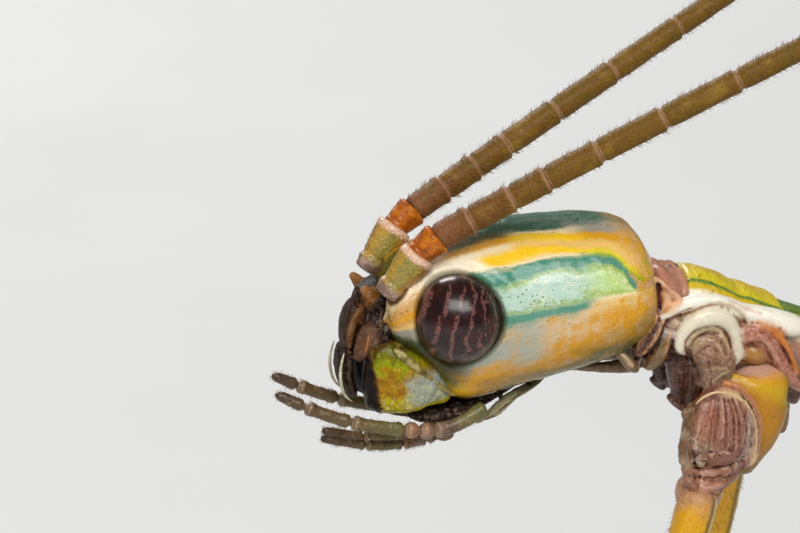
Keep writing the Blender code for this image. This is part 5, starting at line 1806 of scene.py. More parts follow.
def hipParts(sign):
    # the window of folded skin on the front of the coxa, and the ring of folds below
    cord, lump = partial(strand, sign=sign), partial(blob, sign=sign)
    return [
        lump((12.62, 3.38, -6.18), (1.74, 1.08, 2.05), "window", lean=2),
        cord(((12.55, 3.5, -3.92), (13.1, 3.66, -4.12), (13.62, 3.74, -4.55), (14.08, 3.76, -5.14),
            (14.36, 3.74, -5.9), (14.42, 3.72, -6.72), (14.34, 3.7, -7.58), (14.15, 3.62, -8.3)),
            (0.16, 0.16, 0.13, 0.12, 0.11, 0.1, 0.1, 0.07), "ring", 0.7, rows=90),
        cord(((11.02, 3.9, -4.95), (11.35, 4.02, -4.52), (11.85, 4.12, -4.24), (12.45, 4.16, -4.24),
            (13.02, 4.14, -4.46), (13.62, 4.08, -4.95), (14.03, 4.02, -5.7), (14.2, 3.98, -6.6),
            (14.16, 3.94, -7.56), (13.96, 3.88, -8.3)), (0.06, 0.08, 0.08, 0.07, 0.07, 0.07, 0.06, 0.06,
            0.06, 0.04), "ringPale", 0.8, rows=100, cols=14),
        cord(((11.85, 3.6, -4.5), (12.6, 3.72, -4.45), (13.4, 3.7, -4.9), (13.92, 3.66, -5.8),
            (14.06, 3.62, -6.8), (13.96, 3.58, -7.8), (13.75, 3.4, -8.4)),
            (0.35, 0.42, 0.42, 0.4, 0.4, 0.36, 0.25), "window"),
        cord(((11.2, 3.25, -4.9), (11.12, 3.3, -5.7), (11.05, 3.3, -6.6), (11.0, 3.28, -7.4),
            (11.05, 3.2, -8.1)), (0.28, 0.38, 0.42, 0.46, 0.38), "tissue", flat=0.95),
        lump((11.15, 4.02, -6.78), (0.17, 0.15, 0.2), "bead", 0.6),
        lump((11.6, 4.18, -6.86), (0.13, 0.12, 0.15), "bead", 0.6),
        lump((11.98, 4.16, -7.35), (0.2, 0.16, 0.19), "hinge", 0.5),
        lump((11.32, 3.98, -7.5), (0.2, 0.17, 0.17), "bead", 0.6),
        lump((10.8, 3.5, -7.75), (0.3, 0.26, 0.22), "bead", 0.5, lean=20),
        lump((10.85, 3.42, -5.45), (0.24, 0.22, 0.34), "tissue", 0.5, lean=-12),
        lump((10.78, 3.45, -6.35), (0.17, 0.2, 0.24), "bead", 0.5),
        lump((10.72, 3.35, -7.05), (0.2, 0.2, 0.3), "tissue", 0.5, lean=14),
        # folds round the joint with the thigh
        cord(((10.95, 2.8, -8.25), (11.6, 2.95, -8.5), (12.45, 3.0, -8.6), (13.25, 2.85, -8.45),
            (13.75, 2.7, -8.15)), (0.42, 0.66, 0.76, 0.68, 0.36), "hinge", 0.2, rows=70, cols=40),
        lump((11.15, 3.45, -8.2), (0.5, 0.42, 0.36), "hinge", 0.3, lean=20),
        lump((11.95, 3.66, -8.3), (0.52, 0.4, 0.28), "pink", 0.4, lean=8),
        lump((12.8, 3.62, -8.22), (0.58, 0.42, 0.32), "hinge", 0.3, lean=-14),
        lump((13.48, 3.2, -7.95), (0.4, 0.4, 0.46), "pink", 0.3, lean=-25),
        lump((11.55, 3.42, -8.78), (0.62, 0.42, 0.26), "pink", 0.4, lean=14),
        lump((12.55, 3.38, -8.78), (0.52, 0.42, 0.26), "hinge", 0.4, lean=-22),
        lump((10.95, 3.62, -7.92), (0.2, 0.18, 0.15), "bead", 0.7),
        lump((11.48, 3.92, -7.78), (0.22, 0.18, 0.16), "bead", 0.7),
        cord(((11.9, 2.9, -8.6), (11.8, 2.98, -9.15), (11.66, 3.02, -9.7), (11.52, 3.05, -10.4)),
            (0.72, 1.06, 1.1, 0.82), "thigh", 0.5, rows=70, cols=40),
        # the lowest folds lie over the top of the thigh
        lump((11.1, 3.62, -8.78), (0.46, 0.36, 0.3), "hinge", 0.3, lean=30),
        lump((12.1, 3.8, -8.98), (0.66, 0.34, 0.22), "pink", 0.3, lean=-10),
        lump((12.72, 3.5, -8.92), (0.36, 0.4, 0.34), "hinge", 0.3, lean=-40),
    ]


hipLines = [
    # pale band down the back of the window, partly a painted sheen
    (((13.66, -5.3), (13.8, -6.2), (13.74, -7.05), (13.52, -7.75), (13.2, -8.1)), 0.21, 0.042,
        "windowWhiteGlint", 0.8, 0.3),
    # broad orange-tan patch in the middle of the window: painted warm light
    (((11.5, -5.35), (11.38, -5.95), (11.52, -6.55)), 0.24, 0.0, "ridge", 0.42, 0.15),
    (((13.38, -5.2), (13.52, -6.1), (13.44, -7.0), (13.2, -7.6)), 0.06, -0.07, "windowDark", 0.68, 0.1),
    # folds round the joint
    (((11.05, -7.95), (11.7, -8.04), (12.4, -8.02), (13.1, -7.9), (13.6, -7.62)), 0.05, -0.05,
        "hingeDark", 0.55, 0.5),
    (((11.6, -8.52), (12.05, -8.66), (12.5, -8.58), (12.8, -8.3)), 0.06, 0.05, "pinkPale", 0.55, 0.6),
    (((11.7, -8.42), (12.05, -8.52), (12.4, -8.42)), 0.04, -0.05, "hingeDark", 0.6, 0.5),
    (((11.0, -8.02), (11.25, -8.4), (11.2, -8.75)), 0.05, -0.04, "hingeDark", 0.5, 0.3),
    (((12.95, -7.95), (13.05, -8.4), (12.75, -8.85)), 0.05, -0.05, "hingeDark", 0.5, 0.3),
    (((11.5, -8.15), (11.62, -8.45), (11.6, -8.7)), 0.05, 0.04, "windowPale", 0.5, 0.3),
    # white stroke on the fold: painted highlight
    (((13.15, -7.85), (13.35, -8.1), (13.25, -8.45)), 0.07, 0.03, "windowWhiteGlint", 0.5, 0.4),
    (((11.15, -9.1), (11.55, -9.28), (12.0, -9.26), (12.4, -9.4), (12.75, -9.22)), 0.06, -0.05,
        "hingeDark", 0.45, 0.3),
    (((11.25, -9.55), (11.7, -9.62), (12.05, -9.78)), 0.07, 0.04, "pinkPale", 0.35, 0.2),
    (((12.3, -9.5), (12.1, -9.85), (12.05, -10.2)), 0.07, -0.03, "hingeDark", 0.25, 0.2),
    # painted highlights: ring-shaped glints on the wet beads low in front
    (((11.1, -7.0), (11.25, -6.86), (11.4, -7.0), (11.25, -7.14), (11.1, -7.0)), 0.035, 0.035,
        "windowWhiteGlint", 0.5, 0.8),
    (((11.66, -7.1), (11.84, -6.94), (12.02, -7.1), (11.84, -7.26), (11.66, -7.1)), 0.035, 0.035,
        "windowWhiteGlint", 0.5, 0.8),
    (((10.9, -6.6), (11.02, -6.46), (11.14, -6.6)), 0.035, 0.035, "windowWhiteGlint", 0.45, 0.8),
    (((11.05, -7.75), (11.25, -7.62), (11.48, -7.72)), 0.05, 0.05, "windowWhiteGlint", 0.7, 0.6),
    # knot at the top of the ring
    (((12.55, -3.92), (12.85, -4.02)), 0.16, 0.042, "rim", 0.56, 0.5),
    (((13.2, -4.02), (13.75, -4.52), (14.18, -5.15), (14.44, -5.95), (14.5, -6.7)), 0.05, 0.028,
        "collar", 0.56, 0.6),
    (((13.28, -4.42), (13.78, -4.98), (14.14, -5.75), (14.27, -6.6), (14.22, -7.5)), 0.05, -0.084,
        "hingeDark", 0.64, 0.2),
]

# fibres fan down the window from its top
fan = np.random.default_rng(9)
for step in range(17):
    part = (step + fan.uniform(0.0, 1.0)) / 17
    top, foot = 11.75 + 1.25 * part, 10.98 + 2.5 * part
    bow = 0.25 * (part - 0.35)
    tone = ("windowPale", "windowDark", "pink", "muscle", "windowDark", "ridge", "windowDark",
        "pinkPale")[step % 8]
    hipLines.append((((top, -4.45 - fan.uniform(0, 0.2)), ((top + foot) / 2 + bow, -5.55),
        (foot + 0.6 * bow, -6.55 - fan.uniform(0, 0.9))), fan.uniform(0.035, 0.095),
        fan.uniform(0.02, 0.045) * (-1 if "Dark" in tone else 1), tone, fan.uniform(0.3, 0.65), 0.25))
# short cross wrinkles low on the window
for step in range(7):
    x, z = fan.uniform(11.6, 13.2), fan.uniform(-7.8, -6.6)
    hipLines.append((((x - 0.25, z - 0.05), (x, z + 0.06), (x + 0.28, z - 0.1)), 0.04,
        (0.04, -0.05)[step % 2], ("windowPale", "windowDark")[step % 2], 0.7, 0.1))


coxaMaterial = coxaPaint()
hipMaterial = meltPaint("hipPaint", 0.05, 0.2, (1.6, 1.6, 0.35), 0.26)
for word, sign in sides:
    rows = [(x, sign * y, z, depth, wide) for x, y, z, depth, wide in coxa["form"]]
    grid, fields = tube(rows, 110, 90, up=(1, 0, 0), power=2.1, rounded=(0.16, 0.08),
        shape=lambda part, turn: 0.05 * bell(part, 0.1, 0.04) - 0.05 * bell(part, 0.17, 0.04))
    grid = swell(grid, 0.05, 1.4, 1.0)
    if sign > 0:
        fields["around"] = 1.0 - fields["around"]
    gridPiece("frontCoxa_" + word, shearRight(grid, sign), [f"front_{word}_coxa"],
        coxaMaterial, fields)
    melt("hipFolds_" + word, hipParts(sign), None, hipMaterial, 0.058, 3, 0.015, hipLines,
        sign, shearRight)
print("front coxae")


# legs

legs = {
    # thickness across and along the line of march, near end then far end
    "femur": {"front": (0.96, 0.94, 0.78), "mid": (1.2, 1.15, 0.86), "hind": (1.42, 1.36, 0.98)},
    "tibia": {"front": (0.74, 0.74, 0.62), "mid": (0.74, 0.74, 0.62), "hind": (0.86, 0.86, 0.7)},
    "spines": {"front": 15, "mid": 13, "hind": 17},
    "hairs": 900,
}


def nodePoints(node):
    item = bpy.data.objects[node]
    points = np.empty(len(item.data.vertices) * 3)
    item.data.vertices.foreach_get("co", points)
    place = np.array(item.matrix_world)
    return (points.reshape(-1, 3) @ place[:3, :3].T + place[:3, 3] - np.array(eyesMid)) / mm


def limbEnds(node, near):
    # the two end points of a straight limb, the one nearer the given point first
    points = nodePoints(node)
    middle = points.mean(axis=0)
    axis = np.linalg.svd(points - middle)[2][0]
    reach = (points - middle) @ axis
    ends = []
    for edge in (reach.min(), reach.max()):
        ends.append(middle + axis * edge)
    ends.sort(key=lambda end: np.linalg.norm(end - np.asarray(near)))
    return ends


def legPaint():
    paint = Paint("legPaint", rough=0.38, coat=0.2, coatRough=0.2, soft=0.05, softScale=0.4 * mm,
        specular=0.3)
    along, around = paint.field("along"), paint.field("around")
    cloud = paint.noise(1.8, 4, 0.6, at=(1, 1, 0.5))
    place = paint.sway(along, cloud, 0.1)
    colour = paint.ramp(place, (0.0, (0.36, 0.16, 0.08)), (0.03, (0.44, 0.22, 0.09)),
        (0.055, (0.6, 0.29, 0.003)), (0.3, (0.6, 0.33, 0.003)), (0.55, (0.38, 0.28, 0.006)),
        (0.86, (0.22, 0.23, 0.01)), (0.94, (0.32, 0.2, 0.02)), (1.0, (0.18, 0.08, 0.015)))
    rear = paint.calc("PINGPONG", around, 0.5)
    rear = paint.sway(rear, cloud, 0.05)
    strip = paint.band(rear, 0.03, 0.05, 0.125, 0.155)
    colour = paint.mix(colour, (0.5, 0.46, 0.26), paint.times(strip, 0.85))
    seam = paint.band(rear, 0.135, 0.155, 0.165, 0.19)
    colour = paint.mix(colour, (0.1, 0.07, 0.012), paint.times(seam, 0.75))
    streak = paint.noise(0.18, 4, 0.7, at=paint.spread(paint.times(around, 7.0), along, 1.0))
    colour = paint.layers(colour, ((0.74, 0.46, 0.03), streak, 0.55, 0.75, 0.4),
        ((0.22, 0.14, 0.01), streak, 0.45, 0.28, 0.4))
    colour = paint.specks(colour, 0.36, 0.16, 0.07, 1.4, 0.45, 0.6, 0.8)
    grain = paint.plus(paint.noise(0.1, 4, 0.6), paint.cells(0.24))
    return paint.finish(colour, paint.plus(grain, paint.noise(0.7, 3), 1.2), 0.05)


def spinePaint():
    paint = Paint("spinePaint", rough=0.3, coat=0.4, coatRough=0.2, specular=0.5)
    along = paint.field("along")
    cloud = paint.noise(0.2, 3)
    colour = paint.ramp(paint.plus(along, cloud, 0.2), (0.1, (0.5, 0.34, 0.04)), (0.6, (0.3, 0.13, 0.03)),
        (1.0, (0.05, 0.025, 0.012)))
    return paint.finish(colour, paint.noise(0.08, 3), 0.02)


def footPaint():
    paint = Paint("footPaint", rough=0.42, coat=0.25, coatRough=0.25, soft=0.06, softScale=0.4 * mm,
        specular=0.45)
    along = paint.field("along")
    cloud = paint.noise(0.7, 4, 0.6)
    colour = paint.ramp(paint.plus(along, cloud, 0.15), (0.05, (0.32, 0.26, 0.04)),
        (0.45, (0.36, 0.24, 0.05)), (0.8, (0.28, 0.14, 0.04)), (1.0, (0.14, 0.06, 0.025)))
    colour = paint.wash(colour, tint["umber"], paint.noise(0.12, 3, 0.6), 0.45, 0.28, 0.6)
    return paint.finish(colour, paint.plus(paint.noise(0.12, 4, 0.6), paint.cells(0.18)), 0.04)


legMaterial, spineMaterial, footMaterial = legPaint(), spinePaint(), footPaint()


def thorn(root, way, length, radius, curve=(0, 0, 0)):
    # a small closed spike with a thick foot
    root, way = np.asarray(root, float), unit(way)
    rows = []
    for part, size in ((-0.12, 1.25), (0.0, 1.15), (0.12, 0.78), (0.4, 0.52), (0.75, 0.28), (1.0, 0.06)):
        rows.append((*(root + way * length * part + np.asarray(curve, float) * length * max(part, 0) ** 2),
            radius * size, radius * size))
    grid, fields = tube(rows, 14, 8, up=(0.3, 0.2, 1.0), rounded=(0.0, 0.0))
    return gridParts(grid, {"along": fields["along"]})


def makeLimb(name, node, start, stop, sizes, spines, seed, keel=0.1):
    wide, deep, far = sizes
    start, stop = np.asarray(start), np.asarray(stop)
    stations = []
    for part, size in ((0.0, 0.9), (0.02, 1.02), (0.07, 1.0), (0.15, 0.92),
            (0.5, 0.5 * 0.88 + 0.5 * far * 0.95), (0.86, far * 0.94), (0.94, far * 1.12), (0.985, far * 1.1),
            (1.0, far * 0.8)):
        stations.append((*(start + (stop - start) * part), wide * size, deep * size))

    def shape(part, turn):
        # four low keels run down the limb
        ridge = np.abs(np.cos(2 * (turn - 0.25 * np.pi))) ** 4
        return keel * wide * ridge * smooth(0.03, 0.12, part) * smooth(1.0, 0.9,
            part) - 0.05 * wide * (1 - ridge)

    grid, fields = tube(stations, 150, 40, up=(1, 0, 0), rounded=(0.012, 0.015), shape=shape)
    grid = swell(grid, 0.03, 0.9, seed)
    gridPiece(name, grid, [node], legMaterial, fields)
    parts = []
    along = unit(stop - start)
    for k in range(spines):
        part = 0.16 + 0.76 * (k + 0.5) / spines
        row = int(np.searchsorted(fields["along"][:, 0], part))
        for column in (15, 25):
            at = grid[row, column]
            out = unit(at - grid[row].mean(axis=0))
            tall = wide * (0.4 + 0.3 * ((k * 7 + column) % 5) / 5)
            parts.append(thorn(at - out * 0.05, out + along * 0.55, tall, wide * 0.13))
    joinedPiece(name + "Spines", parts, None, spineMaterial)
    hairs(name + "Hairs", grid, legs["hairs"], seed, 0.7, 0.26, 0.012, 0.7)


def makeKnee(name, at, radius, tone):
    # a swollen hinge, so that thigh and shin meet in folds
    at = np.asarray(at, float)
    parts = [blob(at, (radius, radius, radius), tone, 0.4), blob(at + np.array((0.0, 0.0, radius * 0.35)),
        (radius * 0.8, radius * 1.08, radius * 0.75), tone, 0.4)]
    melt(name, parts, None, hipMaterial, 0.09, 3, 0.02)


def makeFoot(name, node, ankle):
    # five joints on the floor with a pad under each, an end pad and two claws
    points = nodePoints(node)
    middle = points.mean(axis=0)
    flat = points[:, :2] - middle[:2]
    axis = np.linalg.svd(flat)[2][0]
    if (middle[:2] - np.asarray(ankle)[:2]) @ axis < 0:
        axis = -axis
    reach = flat @ axis
    floor = points[:, 2].min()
    heading = np.array((*axis, 0.0))
    side = np.array((-heading[1], heading[0], 0.0))
    base = np.array((*(middle[:2] + axis * reach.min()), floor))
    length = reach.max() - reach.min()
    parts = []

    def pad(sizes, at, along):
        ball, _, _ = blob((0, 0, 0), sizes, "tan")
        turned = ball[..., :1] * heading + ball[..., 1:2] * side + ball[...,
            2:] * np.array((0, 0, 1.0)) + at
        parts.append(gridParts(turned, {"along": np.full(turned.shape[:2], along)}))

    marks = ((0.0, 0.4), (0.38, 0.54), (0.52, 0.66), (0.64, 0.76), (0.74, 0.98))
    for k, (first, last) in enumerate(marks):
        tall = 0.62 if k else 0.85
        rows = []
        for part, size in ((0.0, 0.72), (0.15, 0.85), (0.6, 0.92), (0.9, 1.08), (1.0, 0.8)):
            at = base + heading * length * (first + (last - first) * part)
            lift = tall * size + (1.0 * (1 - part) ** 2 if k == 0 else 0.0)
            rows.append((*(at + np.array((0, 0, lift + 0.1))), 0.6 * size, 0.5 * size))
        grid, fields = tube(rows, 40, 28, rounded=(0.08, 0.1))
        grid = swell(grid, 0.02, 0.5, k)
        fields["along"] = first + (last - first) * fields["along"]
        parts.append(gridParts(grid, {"along": fields["along"]}))
        if k < len(marks) - 1:
            pad((0.42, 0.5, 0.28), base + heading * length * (last - 0.015) + np.array((0, 0, 0.28)), last)
    tip = base + heading * length * 0.985
    pad((0.55, 0.48, 0.3), tip + np.array((0, 0, 0.31)), 0.95)
    joinedPiece(name, parts, [node], footMaterial)
    claws = []
    for way in (-1.0, 1.0):
        rows = []
        for part in np.linspace(0, 1, 7):
            bend = math.sin(part * 1.9)
            at = tip + heading * (0.15 + 0.95 * bend) + side * way * (0.28 + 0.42 * part) \
                + np.array((0, 0, 0.62 + 0.34 * math.sin(part * math.pi) - 0.5 * part))
            radius = 0.15 * (1 - part) ** 0.8 + 0.02
            rows.append((*at, radius, radius))
        grid, fields = tube(rows, 26, 10, rounded=(0.04, 0.05))
        claws.append(gridParts(grid, {"along": fields["along"]}))
    joinedPiece(name + "Claws", claws, None, spineMaterial)


for rank in ("front", "mid", "hind"):
    for word, sign in sides:
        hip = nodePoints(f"{rank}_{word}_coxa").mean(axis=0)
        thigh = limbEnds(f"{rank}_{word}_femur", hip)
        if rank == "front":
            thigh[0] = thigh[0] + np.array((-0.38 if sign < 0 else 0.5, 0, 0))
        shin = limbEnds(f"{rank}_{word}_tibia", thigh[1])
        seed = 3 + len(rank) + (1 if sign > 0 else 0)
        reach, heel = beyond(*thigh, 0.2), beyond(*shin, 0.3)
        hidden = beyond(thigh[1], thigh[0], -0.1 if rank == "front" else 0.4)
        makeLimb(f"{rank}Femur_{word}", f"{rank}_{word}_femur", hidden, reach,
            legs["femur"][rank], legs["spines"][rank], seed)
        makeLimb(f"{rank}Tibia_{word}", f"{rank}_{word}_tibia", shin[0], heel,
            legs["tibia"][rank], legs["spines"][rank], seed + 10)
        makeKnee(f"{rank}Knee_{word}", (thigh[1] + shin[0]) / 2,
            legs["femur"][rank][2] * 1.05, "lobe")
        makeKnee(f"{rank}Ankle_{word}", heel, 0.58, "tan")
        makeFoot(f"{rank}Foot_{word}", f"{rank}_{word}_tarsus", shin[1])
        if rank != "front":
            # the short coxa under the trunk
            points = nodePoints(f"{rank}_{word}_coxa")
            a, b = limbEnds(f"{rank}_{word}_coxa", (points[:, 0].mean(), 0, points[:, 2].max()))
            rows = [(*(a + (b - a) * part), 1.6 * size, 1.5 * size) for part,
                size in ((-0.1, 0.9), (0.15, 1.08), (0.5, 1.04), (0.8, 0.9), (1.02, 0.78))]
            grid, fields = tube(rows, 90, 70, up=(1, 0, 0), rounded=(0.1, 0.1),
                shape=lambda part, turn: 0.06 * np.sin(12 * part) - 0.1 * bell(part, 0.16, 0.05))
            grid = swell(grid, 0.05, 0.9, 3.0)
            gridPiece(f"{rank}Coxa_{word}", grid, [f"{rank}_{word}_coxa"], coxaMaterial, fields)
            fold = [blob(b, (1.25, 1.25, 1.0), "pink"), blob(beyond(a, b, 0.6), (1.05, 1.05, 0.9),
                "pinkPale", 0.2), blob(a, (1.9, 1.5, 1.1), "tan", 0.2)]
            melt(f"{rank}HipFolds_{word}", fold, None, hipMaterial, 0.1, 3, 0.06)
print("legs")


# middle and hind thorax, abdomen

body = {
    "crown": ((0.1, 0.22, 0.022), (0.15, 0.28, 0.028), (0.2, 0.34, 0.045)),
    "line": (0.06, 0.14, 0.016),
    "flank": ((0.62, 0.6, 0.36), (0.76, 0.72, 0.5)),
    "under": ((0.22, 0.28, 0.06), (0.3, 0.3, 0.1)),
    "spines": ((6, 11.5), (7, 15.5), (6, 19.5), (8, 23.5), (7, 27.5), (9, 31.5), (7, 35.0)),
}

midPaint = trunkPaint("midThoraxPaint", body["crown"], body["line"], body["flank"],
    ((0.3, 0.24, 0.08), (0.24, 0.26, 0.07)), (0.07, 0.09, 0.24, 0.36))
hindPaint = trunkPaint("hindThoraxPaint", body["crown"], body["line"], body["flank"], body["under"],
    (0.05, 0.07, 0.3, 0.37))
abdomenPaint = trunkPaint("abdomenPaint", ((0.11, 0.24, 0.03), (0.16, 0.3, 0.035), (0.22, 0.36, 0.06)),
    (0.07, 0.17, 0.02), ((0.52, 0.55, 0.28), (0.64, 0.64, 0.38)), ((0.24, 0.32, 0.07), (0.32, 0.36, 0.12)),
    (0.035, 0.05, 0.34, 0.385))


def thoraxShape(distance, share):
    # a fine keel along the back, a groove above the white line, a rolled hind edge
    keel = 0.14 * bell(share, 0.0, 0.022)
    groove = -0.1 * bell(share, 0.235, 0.02) - 0.1 * bell(share, 0.375, 0.022)
    belly = 0.1 * bell(share, 1.0, 0.05) - 0.06 * bell(share, 0.86, 0.03)
    return keel + groove + belly + 0.05 * np.sin(distance * 1.9) * bell(share, 0.62, 0.18)


grid, fields = trunkGrid(8.1, 41.35, 240, 110, shape=thoraxShape)
gridPiece("midThorax", grid, ["mesothorax"], midPaint, fields)
parts = []
for k, (count, distance) in enumerate(body["spines"]):
    row = int(np.searchsorted(fields["along"][:, 0], distance))
    for j in range(count):
        column = int((-0.3 + 0.6 * (j + 0.5) / count) * 55 + 2 * ((j * 5 + k * 3) % 4)) % 110
        shift = row + ((j * 7 + k * 11) % 13) - 6
        at = grid[shift, column]
        out = unit(at - grid[shift].mean(axis=0))
        parts.append(thorn(at - out * 0.08, out + np.array((0.3, 0, 0)), 0.36 + 0.1 * ((j + k) % 3), 0.17))
joinedPiece("midThoraxSpines", parts, None, spineMaterial)
hairs("midThoraxHairs", grid, 1800, 71, 0.4, 0.16, 0.01)

grid, fields = trunkGrid(41.5, 67.45, 170, 110, shape=lambda distance, share: thoraxShape(distance, share)
    + 0.25 * bell(distance, 43.2, 0.6) * smooth(0.4, 0.2, share))
gridPiece("hindThorax", grid, ["metathorax"], hindPaint, fields)

for k in range(4):
    first = trunkReach[3 + k]
    for j in range(2):
        # two rings to a length, each a little under the next
        start = first + 10.75 * j + 0.05
        stop = start + 11.1

        def ringShape(distance, share, start=start, stop=stop):
            bulge = (0.22 * smooth(stop - 2.2, stop - 0.4, distance)
                - 0.12 * smooth(start + 2.0, start, distance))
            edge = 0.1 * bell(distance, stop - 0.35, 0.25)
            keel = 0.1 * bell(share, 0.0, 0.02)
            side = -0.16 * bell(share, 0.385, 0.016) + 0.1 * bell(share, 0.42, 0.02)
            return bulge + edge + keel + side

        ring, fields = trunkGrid(start, min(stop, trunkReach[-1] - 0.1), 76, 104, drawn=0.94,
            shape=ringShape)
        gridPiece(f"abdomenRing{2 * k + j + 1}", ring,
            [f"abdomen_{k + 1}"] if j == 0 else None, abdomenPaint, fields)
print("thorax and abdomen")


# wings

wings = {
    # start along the trunk, length, how far round the back in degrees, height over it
    "hind": {"start": 43.0, "length": 64.0, "angle": 66.0, "lift": 0.62, "thick": 0.28,
        "outline": ((0.0, 0.3), (0.1, 0.7), (0.35, 0.96), (0.7, 1.0), (0.9, 0.8), (1.0, 0.22))},
    "fore": {"start": 36.5, "length": 30.0, "angle": 62.0, "lift": 1.62, "thick": 0.34,
        "outline": ((0.0, 0.26), (0.12, 0.75), (0.45, 1.0), (0.8, 0.8), (1.0, 0.2))},
}


def wingPaint(name, base, edge, veinCount):
    paint = Paint(name, rough=0.42, coat=0.25, coatRough=0.25, soft=0.1, softScale=0.4 * mm, specular=0.45)
    across, along = paint.field("across"), paint.field("along")
    # long veins that fan from the root, cross veins between them
    bend = paint.noise(3.0, 3)
    lane = paint.plus(across, bend, 0.1)
    lane = paint.times(lane, veinCount)
    vein = paint.calc("PINGPONG", lane, 0.5)
    vein = paint.between(vein, 0.085, 0.02)
    cells = paint.cells(0.95, "DISTANCE_TO_EDGE", at=(0.55, 1.2, 1.2))
    net = paint.between(cells, 0.07, 0.015, 0.0, 0.6)
    lines = paint.calc("MAXIMUM", vein, net)
    cloud = paint.noise(2.4, 4, 0.6)
    colour = paint.ramp(cloud, (0.32, base[0]), (0.5, base[1]), (0.68, base[2]))
    colour = paint.mix(colour, (0.42, 0.52, 0.16), paint.times(lines, 0.65))
    colour = paint.layers(colour, (edge, across, 0.86, 0.93, 0.9),
        ((0.36, 0.2, 0.16), along, 0.07, 0.0, 0.6))
    return paint.finish(colour, paint.plus(lines, paint.noise(0.3, 3), 0.35), 0.09)


def makeWing(kind, word, sign, node, material):
    plan = wings[kind]
    rows, cols = 130, 34
    part = np.linspace(0, 1, rows)
    spread = spline(part, plan["outline"])[:, 0]
    distance = plan["start"] + plan["length"] * part
    middle, up = trunkAt(distance)
    wide, above = (np.interp(distance, *np.array(trunk["girth"], float).T[[0, k]]) for k in (1, 2))
    step = np.linspace(0, 1, cols)
    turn = math.radians(2.0) + math.radians(plan["angle"]) * spread[:, None] * step[None]
    # a rounded edge all round: outer skin there, inner skin back
    slim = np.sqrt(np.clip(1 - (2 * step - 1) ** 8, 0, 1))[None] * np.clip(np.minimum(part, 1 - part) * 30,
        0.06, 1)[:, None]
    fold = 0.1 * np.cos(2 * np.pi * step * 5)[None] * slim
    if kind == "fore":
        fold = fold + 0.55 * bell(part, 0.2, 0.12)[:, None] * bell(step, 0.62, 0.2)[None]
    layers = []
    for side in (1.0, -1.0):
        rise = plan["lift"] + fold + side * plan["thick"] / 2 * slim
        y = sign * (wide[:, None] + rise) * np.sin(turn)
        z = (above[:, None] + rise) * np.cos(turn)
        layers.append(middle[:, None] + np.array((0, 1, 0)) * y[..., None] + up[:, None] * z[..., None])
    grid = np.concatenate([layers[0], layers[1][:, ::-1]], axis=1)
    lane = np.concatenate([step, step[::-1]])
    fields = {"across": np.repeat(lane[None], rows, 0), "along": np.repeat(part[:, None], 2 * cols, 1)}
    gridPiece(f"{kind}Wing_{word}", grid, [node], material, fields)


hindWingMaterial = wingPaint("hindWingPaint", ((0.09, 0.22, 0.03), (0.14, 0.29, 0.04), (0.2, 0.36, 0.06)),
    (0.52, 0.5, 0.22), 11.0)
foreWingMaterial = wingPaint("foreWingPaint", ((0.08, 0.2, 0.02), (0.13, 0.27, 0.028), (0.2, 0.34, 0.04)),
    (0.7, 0.66, 0.42), 9.0)
for word, sign in sides:
    makeWing("hind", word, sign, "hind_wing_" + word, hindWingMaterial)
    makeWing("fore", word, sign, "tegmen_" + word, foreWingMaterial)
print("wings")


# tail

tail = {
    "boat": ((0.0, 1.5, 0.7, 0.95), (0.22, 2.5, 1.7, 0.8), (0.55, 2.2, 1.8, 0.8), (0.85, 1.2, 1.1, 1.0),
        (1.0, 0.45, 0.4, 1.25)),
    "leaf": ((0.0, 0.6), (0.08, 0.8), (0.3, 1.5), (0.7, 1.6), (0.92, 1.0), (1.0, 0.5)),
}


def tailPaint():
    paint = Paint("tailPaint", rough=0.4, coat=0.3, coatRough=0.22, soft=0.08, softScale=0.5 * mm,
        specular=0.45)
    along, around = paint.field("along"), paint.field("around")
    cloud = paint.noise(1.6, 4, 0.6)
    colour = paint.ramp(paint.plus(along, cloud, 0.3), (0.1, (0.16, 0.3, 0.04)), (0.7, (0.26, 0.38, 0.07)),
        (1.0, (0.44, 0.38, 0.14)), (1.2, (0.4, 0.28, 0.12)))
    rib = paint.calc("PINGPONG", around, 0.25)
    colour = paint.wash(colour, (0.52, 0.52, 0.24), rib, 0.03, 0.0, 0.7)
    streak = paint.noise(0.2, 4, 0.7, at=(0.2, 1, 1))
    colour = paint.wash(colour, tint["olive"], streak, 0.44, 0.26, 0.4)
    return paint.finish(colour, paint.plus(streak, paint.noise(0.3, 4, 0.6)), 0.07)


tailMaterial = tailPaint()
rows = []
for part, wide, high, sunk in tail["boat"]:
    (centre,), (up,) = trunkAt(trunkReach[-1] - 16.0 + 20.0 * part)
    below = np.interp(trunkReach[-1] - 16.0 + 20.0 * part, *np.array(trunk["girth"], float).T[[0, 3]])
    rows.append((*(centre - up * (below * sunk)), wide, high))
grid, fields = tube(rows, 110, 64, rounded=(0.05, 0.03), power=2.2,
    shape=lambda part, turn: 0.14 * bell(np.cos(turn), -1.0, 0.06) - 0.1 * bell(np.cos(turn), -0.7, 0.1))
gridPiece("operculumBoat", grid, ["operculum"], tailMaterial, fields)
for word, sign in sides:
    rows = []
    for part, wide in tail["leaf"]:
        (centre,), (up,) = trunkAt(trunkReach[-1] + 0.3 + 13.0 * part - 0.6)
        rows.append((*(centre + np.array((0, sign * (1.15 + 2.2 * part), 0)) + up * 0.4), 0.28, wide))
    grid, fields = tube(rows, 80, 40, rounded=(0.04, 0.08),
        shape=lambda part, turn: 0.05 * np.cos(2 * turn) * bell(part, 0.5, 0.4))
    gridPiece("cercus_" + word, grid, ["cercus_" + word], tailMaterial, fields)
    hairs("cercusHairs_" + word, grid, 700, 81, 0.5, 0.3, 0.012)
# folded skin that fills the end of the abdomen
(centre,), (up,) = trunkAt(152.6)
end = np.array(centre)
melt("tailFolds", [blob(end, (1.6, 1.7, 1.5), "lobe", 0.3), blob(end + np.array((1.0, 0, 0.2)),
    (0.9, 1.2, 0.9), "tan", 0.2)], None, hipMaterial, 0.1, 3, 0.05)
print("tail")


# camera, light and floor

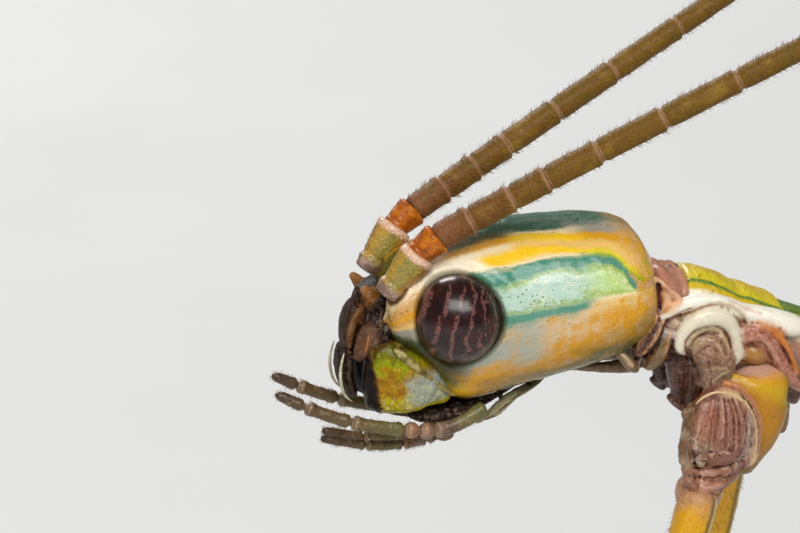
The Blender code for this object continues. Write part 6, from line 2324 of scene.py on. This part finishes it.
view = {
    "turn": math.radians(-14.5),     # seen a little from ahead of the left side
    "rise": math.radians(18.0),
    "distance": 182.0,
    "width": 36.36,                  # millimetres across the frame at the head
    "aim": (-2.614, 2.364),          # from the near eye, to the right and up in the frame
}


def setCamera():
    turn, rise = view["turn"], view["rise"]
    back = np.array((math.sin(turn) * math.cos(rise), -math.cos(turn) * math.cos(rise), math.sin(rise)))
    right = np.array((math.cos(turn), math.sin(turn), 0.0))
    up = np.cross(back, right)
    spot = np.array((0.0, -head["eye"][1], 0.0)) + right * view["aim"][0] + up * view["aim"][1]
    spot = spot + back * view["distance"]
    data = bpy.data.cameras.new("camera")
    data.sensor_width = 36.0
    data.lens = data.sensor_width * view["distance"] / view["width"]
    data.clip_start, data.clip_end = 0.01, 20.0
    camera = link("camera", data)
    facing = Matrix((right, up, back)).transposed().to_4x4()
    camera.matrix_world = Matrix.Translation(Vector(spot * mm) + eyesMid) @ facing
    bpy.context.scene.camera = camera
    return right, up, back


def softbox(name, place, size, power, aim=(4.0, 0.0, -1.0), colour=(1, 1, 1)):
    data = bpy.data.lights.new(name, "AREA")
    data.shape = "RECTANGLE"
    data.size, data.size_y = size[0] * mm, size[1] * mm
    data.energy = power
    data.color = colour
    lamp = link(name, data)
    spot = np.asarray(place, float)
    direction = Vector(np.asarray(aim, float) - spot)
    lamp.matrix_world = (Matrix.Translation(Vector(spot * mm) + eyesMid)
        @ direction.to_track_quat("-Z", "Y").to_matrix().to_4x4())
    lamp.visible_camera = False
    return lamp


def setFloor():
    data = bpy.data.meshes.new("floor")
    count, radius = 96, 3.2
    ring = [(radius * math.cos(2 * math.pi * k / count), radius * math.sin(2 * math.pi * k / count), 0.0)
        for k in range(count)]
    data.from_pydata(ring, [], [tuple(range(count))])
    floor = link("floor", data)
    paint = Paint("floorPaint", rough=0.85, specular=0.2)
    shade = paint.noise(60.0, 3)
    paint.set("colour", paint.ramp(shade, (0.3, (0.66, 0.66, 0.65)), (0.7, (0.69, 0.69, 0.68))))
    data.materials.append(paint.material)
    floor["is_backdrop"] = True


setFloor()
right, up, back = setCamera()
softbox("keyLeft", back * 560 - right * 60 + up * 330, (380, 300), 2.7)
softbox("keyRight", back * 560 + right * 235 + up * 300, (330, 280), 2.2)
fill = softbox("fill", back * 400 - right * 480 - up * 60, (500, 500), 0.9)
fill.visible_glossy = False
softbox("rim", up * 520 - back * 420 - right * 200, (360, 240), 3.0)

world = bpy.data.worlds.new("studio")
world.use_nodes = True
world.node_tree.nodes["Background"].inputs["Color"].default_value = (1.0, 1.0, 1.0, 1.0)
world.node_tree.nodes["Background"].inputs["Strength"].default_value = 0.15
bpy.context.scene.world = world
bpy.context.scene.view_settings.view_transform = "Standard"
print("camera and light")

low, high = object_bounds()
